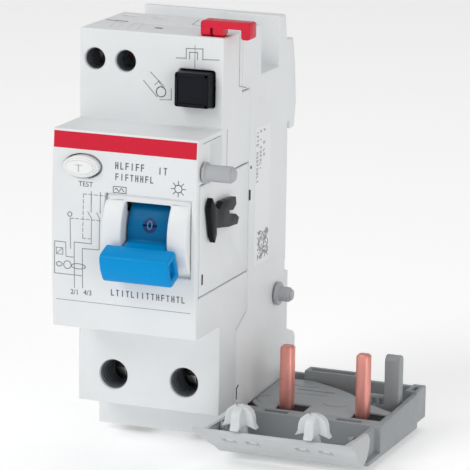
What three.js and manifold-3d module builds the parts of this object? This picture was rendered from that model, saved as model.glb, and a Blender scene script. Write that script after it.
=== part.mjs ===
// Add-on residual current block for a DIN rail: a two-module housing with a blue toggle, a test
// button, a lock button and a red coupling clip, and a low arm on its right that carries two copper
// pins up into the terminals of the two-pole breaker beside it.
// Millimetres, +Z up. X runs to the right seen from the front, Y runs back towards the rail.
// Y = 0 is the face that rests on the rail, Z = 0 is the rail's centre line and X = 0 is the middle
// of the two-module housing.
import * as THREE from "three";
import { mergeVertices } from "three/addons/utils/BufferGeometryUtils.js";
import Module from "manifold-3d";

const wasm = await Module();
wasm.setup();

// ---- driving dimensions -------------------------------------------------------------------
const MODULE = 17.5; // one module along the rail
const BLOCK_WIDTH = 35; // the housing, two modules
const ARM_WIDTH = 35; // the arm, under a two-pole breaker
const BLOCK_TOP = 43.7;
const BLOCK_BOTTOM = -43.2;
const BASE_BOTTOM = -51.7; // lowest face of the base behind the cable entries
const SHOULDER = 41; // front of the upper and lower shoulders, ahead of the rail seat
const NOSE = 55.1; // front of the nose at its upper and lower edge
const NOSE_CROWN = 0.9; // how far the nose bulges between those edges
const NOSE_TOP = 23.2;
const NOSE_BOTTOM = -22.2;
const WALL = 1.6; // housing wall
const GAP = 0.3; // clearance between neighbouring pieces
const SNUG = 0.12; // clearance round a piece that is snapped in
const RAIL = 35; // width of the rail
const HOOK_BACK = 5.2; // back of the fixed hook above the rail
const SEAT_LAND = 0.3; // how far the rail seat stands proud of its ends

// the parting line between the front and the rear moulding
const SPLIT_TOP = -29.3;
const SPLIT_MID = -24.5;
const SPLIT_LOW = -31;
const SPLIT_STEP_TOP = 29.7;
const SPLIT_STEP_LOW = -22;
const BASE_FRONT = -29.4;
const ENTRY_BACK = -22.2; // back of the cable entries

// operating pieces
const AXLE_Y = -46; // toggle pivot
const AXLE_Z = 0.8;
const AXLE_RADIUS = 1.25;
const BEZEL_RADIUS = 12.3;
const DRUM_INSET = 2.6; // how much smaller the toggle's drum is
const WINDOW_WIDTH = 11; // toggle window in the bezel
const BEZEL_MARGIN = 1.4; // from the bezel to the housing's right side
const CHEEK_WIDTH = 4.75; // arched cheek on each side of the window
const TOGGLE_ANGLE = 22; // degrees below the horizontal in the off position
const BAR_WIDTH = 16.4;
const BAR_DEPTH = 5.5;
const BAR_HEIGHT = 7.2;
const TEST_SET = 7.4; // from the housing's left side to the middle of the test button
const TEST_Z = 15.2;
const TEST_HALF_WIDTH = 4.3;
const TEST_HALF_HEIGHT = 2.45;
const LOCK_SET = 6.4; // from the housing's right side to the middle of the lock button
const LOCK_Z = 32;
const LOCK_WIDTH = 8.2;
const LOCK_HEIGHT = 7.8;
const LOCK_PROUD = 3.2;

// terminals
const WELL_RADIUS = 3.5; // screwdriver well of a main terminal
const WELL_Z = -36.3;
const WELL_DEPTH = 8.2; // length of a well from the shoulder's face
const AUX_RADIUS = 2.5; // screwdriver well of an auxiliary terminal
const AUX_PITCH = 7.5;
const AUX_Z = 36.8;
const AUX_HEAD = 2; // head radius of an auxiliary terminal screw
const SCREW_HEAD = 2.9; // head radius of a main terminal screw
const SHANK = 1.9;
const CAGE_WIDTH = 9.4;
const CAGE_HEIGHT = 9.6;
const CAGE_WALL = 1.2;
const CAGE_DEPTH = 8;
const ENTRY_WIDTH = 7; // cable entry below a main terminal

// arm, pins and flap
const ARM_BACK = 2.4;
const ARM_TOP = -43; // at the back
const ARM_FALL = 1.4; // how much lower the top is at the front
const ARM_WALL = 1.3;
const PIN_SIZE = 3.1;
const PIN_TOP = -30;
const PIN_Y = -22;
const PIN_PITCH = 18.6;
const PIN_SET = 18.3; // from the arm's left end to the middle of the pins
const HINGE_Y = -43.2; // flap pivot
const HINGE_Z = -44.6;
const HINGE_RADIUS = 0.9;
const FLAP_WALL = 1.1;

const blockLeft = -BLOCK_WIDTH / 2;
const blockRight = BLOCK_WIDTH / 2;
const armLeft = blockRight + GAP;
const armRight = blockRight + ARM_WIDTH;
const windowRight = blockRight - BEZEL_MARGIN - CHEEK_WIDTH;
const windowLeft = windowRight - WINDOW_WIDTH;
const toggleMiddle = windowLeft + WINDOW_WIDTH / 2;
const testX = blockLeft + TEST_SET;
const lockX = blockRight - LOCK_SET;

// ---- shape helpers --------------------------------------------------------------------------
const degrees = (angle) => (angle * Math.PI) / 180;

/** Outline through the given points, in order. */
function outline(points) {
  return new THREE.Shape(points.map(([a, b]) => new THREE.Vector2(a, b)));
}

/** Rectangle with optional round corners. */
function rectangle(a0, a1, b0, b1, radius = 0) {
  if (radius === 0) return outline([[a0, b0], [a1, b0], [a1, b1], [a0, b1]]);
  const shape = new THREE.Shape();
  shape.moveTo(a0 + radius, b0);
  shape.absarc(a1 - radius, b0 + radius, radius, -Math.PI / 2, 0);
  shape.absarc(a1 - radius, b1 - radius, radius, 0, Math.PI / 2);
  shape.absarc(a0 + radius, b1 - radius, radius, Math.PI / 2, Math.PI);
  shape.absarc(a0 + radius, b0 + radius, radius, Math.PI, 1.5 * Math.PI);
  return shape;
}

/** Ellipse, or a circle when both half-axes are the same. */
function ellipse(a, b, halfA, halfB = halfA) {
  const shape = new THREE.Shape();
  shape.absellipse(a, b, halfA, halfB, 0, 2 * Math.PI);
  return shape;
}

/** Turns a closed three.js geometry into a solid that can be joined and cut. */
function solid(geometry) {
  const bare = geometry.clone();
  bare.deleteAttribute("normal");
  bare.deleteAttribute("uv");
  const merged = mergeVertices(bare, 1e-4);
  return new wasm.Manifold(
    new wasm.Mesh({
      numProp: 3,
      vertProperties: new Float32Array(merged.attributes.position.array),
      triVerts: new Uint32Array(merged.index.array),
    }),
  );
}

function extruded(shape, depth, segments, axes, shift) {
  const geometry = new THREE.ExtrudeGeometry(shape, {
    depth,
    bevelEnabled: false,
    curveSegments: segments,
  });
  const turn = new THREE.Matrix4().makeBasis(...axes.map((axis) => new THREE.Vector3(...axis)));
  geometry.applyMatrix4(turn.setPosition(...shift));
  return solid(geometry);
}

/** Outline in (Y, Z), extruded from x0 to x1. */
function alongX(shape, x0, x1, segments = 6) {
  return extruded(shape, x1 - x0, segments, [[0, 1, 0], [0, 0, 1], [1, 0, 0]], [x0, 0, 0]);
}

/** Outline in (X, Z), extruded from y0 to y1. */
function alongY(shape, y0, y1, segments = 6) {
  return extruded(shape, y1 - y0, segments, [[1, 0, 0], [0, 0, 1], [0, -1, 0]], [0, y1, 0]);
}

/** Outline in (X, Y), extruded from z0 to z1. */
function alongZ(shape, z0, z1, segments = 6) {
  return extruded(shape, z1 - z0, segments, [[1, 0, 0], [0, 1, 0], [0, 0, 1]], [0, 0, z0]);
}

function box(x0, x1, y0, y1, z0, z1) {
  return alongZ(rectangle(x0, x1, y0, y1), z0, z1);
}

function join(first, ...others) {
  return others.reduce((whole, piece) => whole.add(piece), first);
}

function cut(first, ...others) {
  return others.reduce((whole, piece) => whole.subtract(piece), first);
}

function geometryOf(shape) {
  const mesh = shape.getMesh();
  const geometry = new THREE.BufferGeometry();
  const positions = new Float32Array((mesh.vertProperties.length / mesh.numProp) * 3);
  for (let i = 0; i < positions.length / 3; i += 1) {
    for (let k = 0; k < 3; k += 1) {
      positions[3 * i + k] = mesh.vertProperties[mesh.numProp * i + k];
    }
  }
  geometry.setAttribute("position", new THREE.BufferAttribute(positions, 3));
  geometry.setIndex(new THREE.BufferAttribute(new Uint32Array(mesh.triVerts), 1));
  return geometry;
}

/** Round wire or bar of the given half-size swept through the points. */
function swept(points, halfWidth, halfHeight, steps, sides = 4) {
  const path = new THREE.CatmullRomCurve3(
    points.map((point) => new THREE.Vector3(...point)),
    false,
    "centripetal",
  );
  return solid(
    new THREE.ExtrudeGeometry(ellipse(0, 0, halfWidth, halfHeight), {
      steps,
      curveSegments: sides,
      bevelEnabled: false,
      extrudePath: path,
    }),
  );
}

/** Helical spring with its axis on local +Z, from 0 to length. */
function coil(radius, wire, length, turns) {
  const points = [];
  const perTurn = 9;
  for (let i = 0; i <= turns * perTurn; i += 1) {
    const angle = (2 * Math.PI * i) / perTurn;
    const rise = wire + ((length - 2 * wire) * i) / (turns * perTurn);
    points.push([radius * Math.cos(angle), radius * Math.sin(angle), rise]);
  }
  return swept(points, wire, wire, turns * perTurn, 3);
}

// ---- finishes -------------------------------------------------------------------------------
const FINISHES = {
  housing: { color: 0xd9dcdd, roughness: 0.45, metalness: 0 },
  bezel: { color: 0xf0f2f2, roughness: 0.35, metalness: 0 },
  armGrey: { color: 0xa3a8aa, roughness: 0.5, metalness: 0 },
  armLight: { color: 0xb4b9bb, roughness: 0.5, metalness: 0 },
  flap: { color: 0xc3c9ca, roughness: 0.42, metalness: 0 },
  plug: { color: 0xcfd3d4, roughness: 0.4, metalness: 0 },
  peg: { color: 0x9b9fa3, roughness: 0.45, metalness: 0 },
  blue: { color: 0x1f86cf, roughness: 0.28, metalness: 0 },
  red: { color: 0xcf2037, roughness: 0.35, metalness: 0 },
  black: { color: 0x15171b, roughness: 0.3, metalness: 0 },
  button: { color: 0xe2e4e4, roughness: 0.35, metalness: 0 },
  copper: { color: 0xc8705a, roughness: 0.35, metalness: 1 },
  steel: { color: 0x8f9396, roughness: 0.35, metalness: 1 },
  core: { color: 0x3a3d40, roughness: 0.6, metalness: 0.4 },
  winding: { color: 0x9a5a2c, roughness: 0.5, metalness: 0.6 },
};

const model = new THREE.Group();

/** Adds one named piece, made where it lies or moved there by a position and a turn. */
function piece(name, shape, finish, position = [0, 0, 0], turn = [0, 0, 0]) {
  const mesh = new THREE.Mesh(geometryOf(shape), new THREE.MeshStandardMaterial(FINISHES[finish]));
  mesh.name = name;
  mesh.position.set(...position);
  mesh.rotation.set(...turn.map(degrees));
  model.add(mesh);
}

// ---- housing --------------------------------------------------------------------------------
/** Front face of the nose: a shallow arc from its upper edge to its lower edge, inset by d. */
function noseArc(inset) {
  const steps = 8;
  const points = [];
  const middle = (NOSE_TOP + NOSE_BOTTOM) / 2;
  const half = (NOSE_TOP - NOSE_BOTTOM) / 2 - inset;
  for (let i = 0; i <= steps; i += 1) {
    const share = 1 - (2 * i) / steps;
    points.push([-NOSE + inset - NOSE_CROWN * (1 - share * share), middle + half * share]);
  }
  return points;
}

/** Side outline of the housing's front part, inset by d and closed along the given back line. */
function frontOutline(inset, back) {
  return outline([
    ...back,
    [-SHOULDER + inset, BLOCK_TOP - inset],
    [-SHOULDER + inset, NOSE_TOP - inset],
    ...noseArc(inset),
    [-SHOULDER + inset, NOSE_BOTTOM + inset],
    [-SHOULDER + inset, BLOCK_BOTTOM + inset],
  ].reverse());
}

const PANEL = { front: -53.7, top: 12.6, bottom: -12.5 };
const auxLeft = blockLeft + WALL + AUX_HEAD + 0.1;
const auxXs = [auxLeft, auxLeft + AUX_PITCH];
const mainXs = [-MODULE / 2, MODULE / 2];
const clipLegs = [6.2, 3.3].map((set) => [blockRight - set, blockRight - set + 2.3]);
const CLIP_FRONT = -39.8;
const CLIP_DEPTH = 4.2;
const LEG_FRONT = -39.2;
const LEG_DEPTH = 2.3;
const LEG_REACH = 5.2; // how far the legs reach into the housing

/** Round bar along every screwdriver well, thicker than it by the given wall. */
function wellBars(mainWall, auxWall, start, over) {
  const back = WELL_DEPTH - SHOULDER + over;
  const bar = (x, z, radius) => alongY(ellipse(x, z, radius), start - SHOULDER, back, 14);
  return [
    ...mainXs.map((x) => bar(x, WELL_Z, WELL_RADIUS + mainWall)),
    ...auxXs.map((x) => bar(x, AUX_Z, AUX_RADIUS + auxWall)),
  ];
}

/** Openings in the front moulding for the clip, the buttons, the bezel and the side panel. */
function frontOpenings() {
  const legBack = LEG_FRONT + LEG_DEPTH + GAP;
  const legBottom = BLOCK_TOP - LEG_REACH - 1;
  const legs = clipLegs.map(([x0, x1]) =>
    box(x0 - GAP, x1 + GAP, LEG_FRONT - GAP, legBack, legBottom, BLOCK_TOP + 1),
  );
  const lock = rectangle(
    lockX - LOCK_WIDTH / 2 - GAP,
    lockX + LOCK_WIDTH / 2 + GAP,
    LOCK_Z - LOCK_HEIGHT / 2 - GAP,
    LOCK_Z + LOCK_HEIGHT / 2 + GAP,
    0.6,
  );
  const test = ellipse(testX, TEST_Z, TEST_HALF_WIDTH + GAP, TEST_HALF_HEIGHT + GAP);
  const cheeks = rectangle(
    windowLeft - CHEEK_WIDTH - SNUG,
    windowRight + CHEEK_WIDTH + SNUG,
    AXLE_Z - BEZEL_HALF - SNUG,
    AXLE_Z + BEZEL_HALF + SNUG,
  );
  const panel = rectangle(PANEL.front - GAP, SPLIT_MID + 1, PANEL.bottom - GAP, PANEL.top + GAP);
  return [
    ...legs,
    alongY(lock, -SHOULDER - 1, -SHOULDER + WALL + 1, 2),
    alongY(test, -NOSE - 3, -NOSE + WALL + 1, 16),
    alongY(cheeks, -NOSE - 3, -NOSE + WALL + 1),
    alongX(panel, blockRight - WALL - 1, blockRight + 1),
  ];
}

function frontShell() {
  const parting = [
    [SPLIT_LOW, BLOCK_BOTTOM],
    [SPLIT_LOW, SPLIT_STEP_LOW - 3.2],
    [SPLIT_MID, SPLIT_STEP_LOW],
    [SPLIT_MID, SPLIT_STEP_TOP],
    [SPLIT_TOP, SPLIT_STEP_TOP],
    [SPLIT_TOP, BLOCK_TOP],
  ];
  const inner = [[0, BLOCK_BOTTOM + WALL], [0, BLOCK_TOP - WALL]];
  const shell = cut(
    alongX(frontOutline(0, parting), blockLeft, blockRight),
    alongX(frontOutline(WALL, inner), blockLeft + WALL, blockRight - WALL),
  );
  // screwdriver wells run inwards as short tubes, and a rib carries the lock button's spring
  const rib = box(lockX - 5, blockRight - 1, -31.2, -30, SPLIT_STEP_TOP + 0.2, BLOCK_TOP - 1);
  return cut(join(shell, ...wellBars(1, 0.9, 1, 0), rib), ...wellBars(0, 0, -1, 1), ...frontOpenings());
}

/** Side outline of the rear moulding: tower, hook, rail seat and lower foot. */
function rearOutline() {
  const half = RAIL / 2;
  const seatEnd = half - 2;
  return outline([
    [SPLIT_TOP + GAP, BLOCK_TOP],
    [SPLIT_TOP + GAP, SPLIT_STEP_TOP + GAP],
    [SPLIT_MID + GAP, SPLIT_STEP_TOP + GAP],
    [SPLIT_MID + GAP, SPLIT_STEP_LOW - GAP],
    [SPLIT_LOW + GAP, SPLIT_STEP_LOW - 3.2 - GAP],
    [SPLIT_LOW + GAP, BLOCK_BOTTOM - GAP],
    [BASE_FRONT, BLOCK_BOTTOM - GAP],
    [BASE_FRONT, BASE_BOTTOM],
    [1.8, BASE_BOTTOM],
    [7.4, -46.5],
    [7.4, -35.6],
    [6.4, -34.2],
    [1.8, -32.6],
    [1.8, -half - 0.7],
    [-SEAT_LAND, -half - 0.7],
    [-SEAT_LAND, -seatEnd],
    [0, -seatEnd],
    [0, seatEnd],
    [-SEAT_LAND, seatEnd],
    [-SEAT_LAND, half + 0.3],
    [1.3, half + 0.3],
    [1.3, half - 1.6],
    [4, half - 1.6],
    [HOOK_BACK, 21.5],
    [4.4, 30],
    [2.7, 37.4],
    [-1.3, 37.6],
    [-2.6, BLOCK_TOP],
  ]);
}

const LATCH_HALF = 5.2;
const LATCH_BACK = 4.6;
const LATCH_FRONT = 0.4;
const LATCH_NOSE = -RAIL / 2 + 1.3;
const LATCH_SPRING = 8.2; // length of the latch's spring
const LUG_TOP = -42.3; // lug that the spring stands on
const LUG_HALF = 1.4;

const POCKET_WIDTH = 14.5; // deep pocket at the top, open to the right

function rearBase() {
  const body = alongX(rearOutline(), blockLeft, blockRight);
  const left = blockLeft + WALL;
  const right = blockRight - WALL;
  const back = -1.8;
  const upper = box(left, right, -40, -19.4, 29, BLOCK_TOP - WALL);
  const middle = box(left, right, -40, back, BLOCK_BOTTOM + 1.2, 30.2);
  const lower = box(left, right, BASE_FRONT + WALL, back, BASE_BOTTOM + WALL, BLOCK_BOTTOM - GAP);
  const lowerStep = box(left, right, BASE_FRONT + WALL + 2, back, BLOCK_BOTTOM - 1, BLOCK_BOTTOM + 2);
  const pocket = box(blockRight - POCKET_WIDTH, blockRight + 1, -17.7, -6.2, BLOCK_TOP - 11.7, BLOCK_TOP + 1);
  const channelRight = blockRight - POCKET_WIDTH + 1;
  const channel = box(blockLeft - 1, channelRight, -16.6, -4.4, BLOCK_TOP - 3.3, BLOCK_TOP + 1);
  const duct = box(right - 1, blockRight + 1, -25, back, BASE_BOTTOM + WALL, -45);
  const latchSlot = box(-LATCH_HALF - GAP, LATCH_HALF + GAP, 0, 8, BASE_BOTTOM - 1, -RAIL / 2 + 1);
  let base = cut(body, upper, middle, lower, lowerStep, pocket, channel, duct, latchSlot);
  for (const x of auxXs) {
    base = cut(base, box(x - 1.6, x + 1.6, -22, -19.8, BLOCK_TOP - 3, BLOCK_TOP + 1));
  }
  base = join(base, box(-LUG_HALF, LUG_HALF, -0.5, LATCH_BACK - 1, LUG_TOP - 1.4, LUG_TOP));
  // cables enter the main terminals from below, through the base
  for (const x of mainXs) {
    const entry = rectangle(x - ENTRY_WIDTH / 2, x + ENTRY_WIDTH / 2, BASE_FRONT + WALL, ENTRY_BACK, 0.8);
    base = cut(base, alongZ(entry, BASE_BOTTOM - 1, BLOCK_BOTTOM + 2, 2));
  }
  return base;
}

function sidePanel() {
  const plate = rectangle(PANEL.front, SPLIT_MID - GAP, PANEL.bottom, PANEL.top, 0.3);
  const shaft = ellipse(TRIP_Y, TRIP_Z, TRIP_RADIUS + GAP);
  return cut(
    alongX(plate, blockRight - WALL, blockRight, 1),
    alongX(shaft, blockRight - WALL - 1, blockRight + 1),
  );
}

// ---- toggle and its bezel ---------------------------------------------------------------------
const BEZEL_HALF = Math.sqrt(BEZEL_RADIUS ** 2 - (NOSE + AXLE_Y) ** 2) + 0.4;
const BEZEL_BACK = -54.1;
const BEARING = 1.8;

function toggleBezel() {
  const left = windowLeft - CHEEK_WIDTH;
  const right = windowRight + CHEEK_WIDTH;
  const arch = alongX(ellipse(AXLE_Y, AXLE_Z, BEZEL_RADIUS), left, right, 24);
  const front = box(left, right, -NOSE - 4, BEZEL_BACK, AXLE_Z - BEZEL_HALF, AXLE_Z + BEZEL_HALF);
  const frame = arch.intersect(front);
  const plate = box(left, right, -NOSE + 0.2, BEZEL_BACK, AXLE_Z - BEZEL_HALF, AXLE_Z + BEZEL_HALF);
  const half = BEZEL_HALF - 1.4;
  const opening = box(windowLeft, windowRight, -NOSE - 5, 0, AXLE_Z - half, AXLE_Z + half);
  const bearingOutline = outline([
    [BEZEL_BACK - 0.5, AXLE_Z - 5],
    [AXLE_Y + 1.5, AXLE_Z - 3],
    [AXLE_Y + 3.4, AXLE_Z - 1],
    [AXLE_Y + 3.4, AXLE_Z + 1],
    [AXLE_Y + 1.5, AXLE_Z + 3],
    [BEZEL_BACK - 0.5, AXLE_Z + 5],
  ]);
  const bore = ellipse(AXLE_Y, AXLE_Z, AXLE_RADIUS + GAP);
  return cut(
    join(
      cut(join(frame, plate), opening),
      alongX(bearingOutline, windowLeft - BEARING, windowLeft),
      alongX(bearingOutline, windowRight, windowRight + BEARING),
    ),
    alongX(bore, left - 1, right + 1),
  );
}

/** Point at the given distance from the toggle's axle and height across the handle, (Y, Z). */
function handlePoint(radial, across) {
  const angle = degrees(TOGGLE_ANGLE);
  return [
    AXLE_Y - radial * Math.cos(angle) - across * Math.sin(angle),
    AXLE_Z - radial * Math.sin(angle) + across * Math.cos(angle),
  ];
}

/** Outline through points given in the handle's own directions. */
function handleOutline(points) {
  return outline(points.map((point) => handlePoint(...point)));
}

function toggleHandle() {
  const inset = 0.4;
  const left = windowLeft + inset;
  const right = windowRight - inset;
  const angle = degrees(TOGGLE_ANGLE);
  const noseReach = NOSE + NOSE_CROWN + AXLE_Y + GAP;
  const noseClear = (noseReach + (BAR_HEIGHT / 2) * Math.sin(angle)) / Math.cos(angle);
  const barBack = Math.max(BEZEL_RADIUS + 0.7, noseClear);
  const barFront = barBack + BAR_DEPTH;
  const half = BAR_HEIGHT / 2;
  const bend = 1.3;
  const drum = alongX(ellipse(AXLE_Y, AXLE_Z, BEZEL_RADIUS - DRUM_INSET), left, right, 24);
  const neckHalf = 2.4;
  const neck = handleOutline([
    [6, -neckHalf],
    [barBack + 1, -neckHalf],
    [barBack + 1, neckHalf],
    [6, neckHalf],
  ]);
  const barOutline = handleOutline([
    [barBack, -half + bend / 2],
    [barBack + bend / 2, -half],
    [barFront - bend, -half],
    [barFront - bend * 0.3, -half + bend * 0.3],
    [barFront, -half + bend],
    [barFront + 0.3, 0],
    [barFront, half - bend],
    [barFront - bend * 0.3, half - bend * 0.3],
    [barFront - bend, half],
    [barBack + bend / 2, half],
    [barBack, half - bend / 2],
  ]);
  const barLeft = toggleMiddle - BAR_WIDTH / 2;
  const barRight = toggleMiddle + BAR_WIDTH / 2;
  const recessHalf = 1.9;
  const recess = handleOutline([
    [barBack + 1.4, -recessHalf],
    [barFront - 1.2, -recessHalf],
    [barFront - 1.2, recessHalf],
    [barBack + 1.4, recessHalf],
  ]);
  return cut(
    join(drum, alongX(neck, left, right), alongX(barOutline, barLeft, barRight)),
    alongX(ellipse(AXLE_Y, AXLE_Z, AXLE_RADIUS + GAP), left - 1, right + 1),
    alongX(recess, barRight - 1.4, barRight + 1),
    alongX(recess, barLeft - 1, barLeft + 1.4),
  );
}

function addToggle() {
  const axleLeft = windowLeft - 6.4;
  const axleRight = windowRight + BEARING + 0.3;
  piece("toggle_bezel", toggleBezel(), "bezel");
  piece("toggle_handle", toggleHandle(), "blue");
  piece("toggle_axle", alongX(ellipse(AXLE_Y, AXLE_Z, AXLE_RADIUS), axleLeft, axleRight), "steel");
  const springLength = 3.2;
  piece(
    "toggle_spring",
    coil(AXLE_RADIUS + 1, 0.35, springLength, 4),
    "steel",
    [windowLeft - BEARING - GAP - springLength, AXLE_Y, AXLE_Z],
    [0, 90, 0],
  );
}

// ---- buttons and clip -------------------------------------------------------------------------
const TEST_PROUD = 1.6;
const FLANGE = 1;

function addTestButton() {
  const flangeFront = -NOSE + WALL + GAP;
  const steps = [[0, 0.9], [0.35, 0.45], [0.8, 0]];
  const face = -NOSE - NOSE_CROWN - TEST_PROUD;
  let button = alongY(
    ellipse(testX, TEST_Z, TEST_HALF_WIDTH + FLANGE, TEST_HALF_HEIGHT + FLANGE),
    flangeFront,
    flangeFront + FLANGE,
    16,
  );
  for (const [back, less] of steps) {
    const oval = ellipse(testX, TEST_Z, TEST_HALF_WIDTH - less, TEST_HALF_HEIGHT - less);
    button = join(button, alongY(oval, face + back, flangeFront + 0.2, 16));
  }
  const springFront = flangeFront + FLANGE + GAP;
  const springLength = 4;
  piece("test_button", button, "button");
  piece("test_spring", coil(1.6, 0.25, springLength, 4), "steel", [testX, springFront, TEST_Z], [-90, 0, 0]);
  const contactFront = springFront + springLength + GAP;
  const contact = rectangle(testX - 5, testX + 5, TEST_Z - 2.2, TEST_Z + 2.2, 0.8);
  piece("test_contact", alongY(contact, contactFront, contactFront + 0.5, 2), "steel");
  const resistorY = contactFront + 3.2;
  const lead = alongX(ellipse(resistorY, TEST_Z, 0.35), testX - 5.4, testX + 5.4, 4);
  const resistor = join(alongX(ellipse(resistorY, TEST_Z, 1.7), testX - 3.6, testX + 3.6), lead);
  piece("test_resistor", resistor, "core");
}

function addLockButton() {
  const flangeFront = -SHOULDER + WALL + GAP;
  const halfWidth = LOCK_WIDTH / 2;
  const halfHeight = LOCK_HEIGHT / 2;
  const cap = rectangle(lockX - halfWidth, lockX + halfWidth, LOCK_Z - halfHeight, LOCK_Z + halfHeight, 0.5);
  const edge = FLANGE - GAP;
  const flange = rectangle(
    lockX - halfWidth - edge,
    lockX + halfWidth + GAP,
    LOCK_Z - halfHeight - edge,
    LOCK_Z + halfHeight + edge,
  );
  const springLength = 5.6;
  const springFront = flangeFront + FLANGE + GAP;
  piece(
    "lock_button",
    join(
      alongY(cap, -SHOULDER - LOCK_PROUD, flangeFront + 0.2, 2),
      alongY(flange, flangeFront, flangeFront + FLANGE),
    ),
    "black",
  );
  piece("lock_spring", coil(2.2, 0.3, springLength, 4), "steel", [lockX, springFront, LOCK_Z], [-90, 0, 0]);
}

function couplingClip() {
  const barBottom = BLOCK_TOP + 1.9;
  const barTop = BLOCK_TOP + 3.5;
  const right = blockRight + 5.6;
  const left = clipLegs[0][0];
  const back = CLIP_FRONT + CLIP_DEPTH;
  const legTop = barBottom + 0.3;
  const bar = alongY(rectangle(left, right, barBottom, barTop, 0.6), CLIP_FRONT, back, 2);
  const hook = alongY(rectangle(right - 2.1, right, BLOCK_TOP - 0.3, barTop, 0.6), CLIP_FRONT, back, 2);
  const legs = clipLegs.map(([x0, x1]) =>
    join(
      box(x0, x1, LEG_FRONT, LEG_FRONT + LEG_DEPTH, BLOCK_TOP - LEG_REACH, legTop),
      box(x0, x1, CLIP_FRONT, back - 0.4, BLOCK_TOP + GAP, legTop),
    ),
  );
  return join(bar, hook, ...legs);
}

// ---- trip mechanism and transformer -----------------------------------------------------------
const TRIP_Y = -41.5;
const TRIP_Z = 4.2;
const TRIP_RADIUS = 1.5;
const TRIP_BAR_Y = AXLE_Y + BEZEL_RADIUS + 1.2; // the bar that the plunger lifts
const BAR_THICKNESS = 2.2;
const RELAY_X = blockLeft + 6.1;
const PLUNGER = 1.2;

function addTripMechanism() {
  const leverInner = blockRight + GAP;
  const leverOuter = leverInner + 1.3;
  const plate = outline([
    [-50.4, 9.6],
    [-51.6, 7.2],
    [-49.8, 0.6],
    [-48.6, -1],
    [-47.4, 0.8],
    [-47.6, 2.2],
    [-40.4, 1],
    [-35.2, 0.6],
    [-34.2, 2],
    [-36.2, 3.2],
    [-41.2, 3.9],
    [-41.6, 4.9],
    [-37.8, 4.4],
    [-36, 5.4],
    [-36.4, 7.2],
    [-44.2, 7.6],
    [-46.2, 6.2],
    [-48, 7],
  ].reverse());
  const hub = alongX(ellipse(TRIP_Y, TRIP_Z, TRIP_RADIUS), leverInner - 0.1, leverOuter);
  piece("trip_lever", join(alongX(plate, leverInner, leverOuter), hub), "black");
  // the shaft's crank carries a bar that passes behind the toggle's drum to the relay
  const crankLeft = windowRight + BEARING + GAP;
  const crankRight = crankLeft + 1.4;
  const half = BAR_THICKNESS / 2;
  const shaft = join(
    alongX(ellipse(TRIP_Y, TRIP_Z, TRIP_RADIUS), crankLeft, leverInner - 0.1 - GAP),
    box(crankLeft, crankRight, TRIP_Y, TRIP_BAR_Y + half, TRIP_Z - half, TRIP_Z + half),
    box(RELAY_X - 2, crankRight, TRIP_BAR_Y - half, TRIP_BAR_Y + half, TRIP_Z - half, TRIP_Z + half),
  );
  piece("trip_shaft", shaft, "black");
  const top = TRIP_Z - half - GAP;
  const relayTop = top - 3;
  const relay = rectangle(RELAY_X - 4, RELAY_X + 4, relayTop - 20, relayTop, 0.8);
  const bore = alongZ(ellipse(RELAY_X, TRIP_BAR_Y, PLUNGER + GAP), relayTop - 7, relayTop + 1);
  piece("trip_relay", cut(alongY(relay, TRIP_BAR_Y - 6, TRIP_BAR_Y + 6, 2), bore), "core");
  const plunger = join(
    alongZ(ellipse(RELAY_X, TRIP_BAR_Y, PLUNGER), relayTop - 6.6, top),
    alongZ(ellipse(RELAY_X, TRIP_BAR_Y, PLUNGER + 0.8), top - 1.4, top),
  );
  piece("relay_plunger", plunger, "steel");
}

const CORE = { x: 0, y: -10.2, z: -4, outer: 12.6, inner: 7, depth: 7 };

/** Ring turned about Y, centred on the transformer. */
function coreRing(grow) {
  const half = CORE.depth / 2 + grow;
  const inner = CORE.inner - grow;
  const outer = CORE.outer + grow;
  const section = [[inner, -half], [outer, -half], [outer, half], [inner, half], [inner, -half]];
  const ring = new THREE.LatheGeometry(section.map(([a, b]) => new THREE.Vector2(a, b)), 36);
  return solid(ring.translate(CORE.x, CORE.y, CORE.z));
}

function addTransformer() {
  piece("core_ring", coreRing(0), "core");
  const wedge = outline([
    [CORE.x, CORE.z],
    [CORE.x - 30, CORE.z + 9],
    [CORE.x - 30, CORE.z - 9],
  ]);
  const sector = alongY(wedge, CORE.y - 20, CORE.y + 20);
  piece("core_winding", cut(coreRing(1.5), coreRing(GAP)).intersect(sector), "winding");
}

// ---- conductors and terminals -----------------------------------------------------------------
const pinXs = [-1, 1].map((side) => armLeft + PIN_SET + (side * PIN_PITCH) / 2);
const WIRE = 1.1;
const HEAD_FRONT = -SHOULDER + WELL_DEPTH + 0.4;
const HEAD_HEIGHT = 2.2;
const CAGE_FRONT = HEAD_FRONT + HEAD_HEIGHT + 0.7;
const CLAMP_Y = CAGE_FRONT + CAGE_DEPTH - CAGE_WALL - GAP - WIRE - 0.1; // conductor's end in its cage

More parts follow.
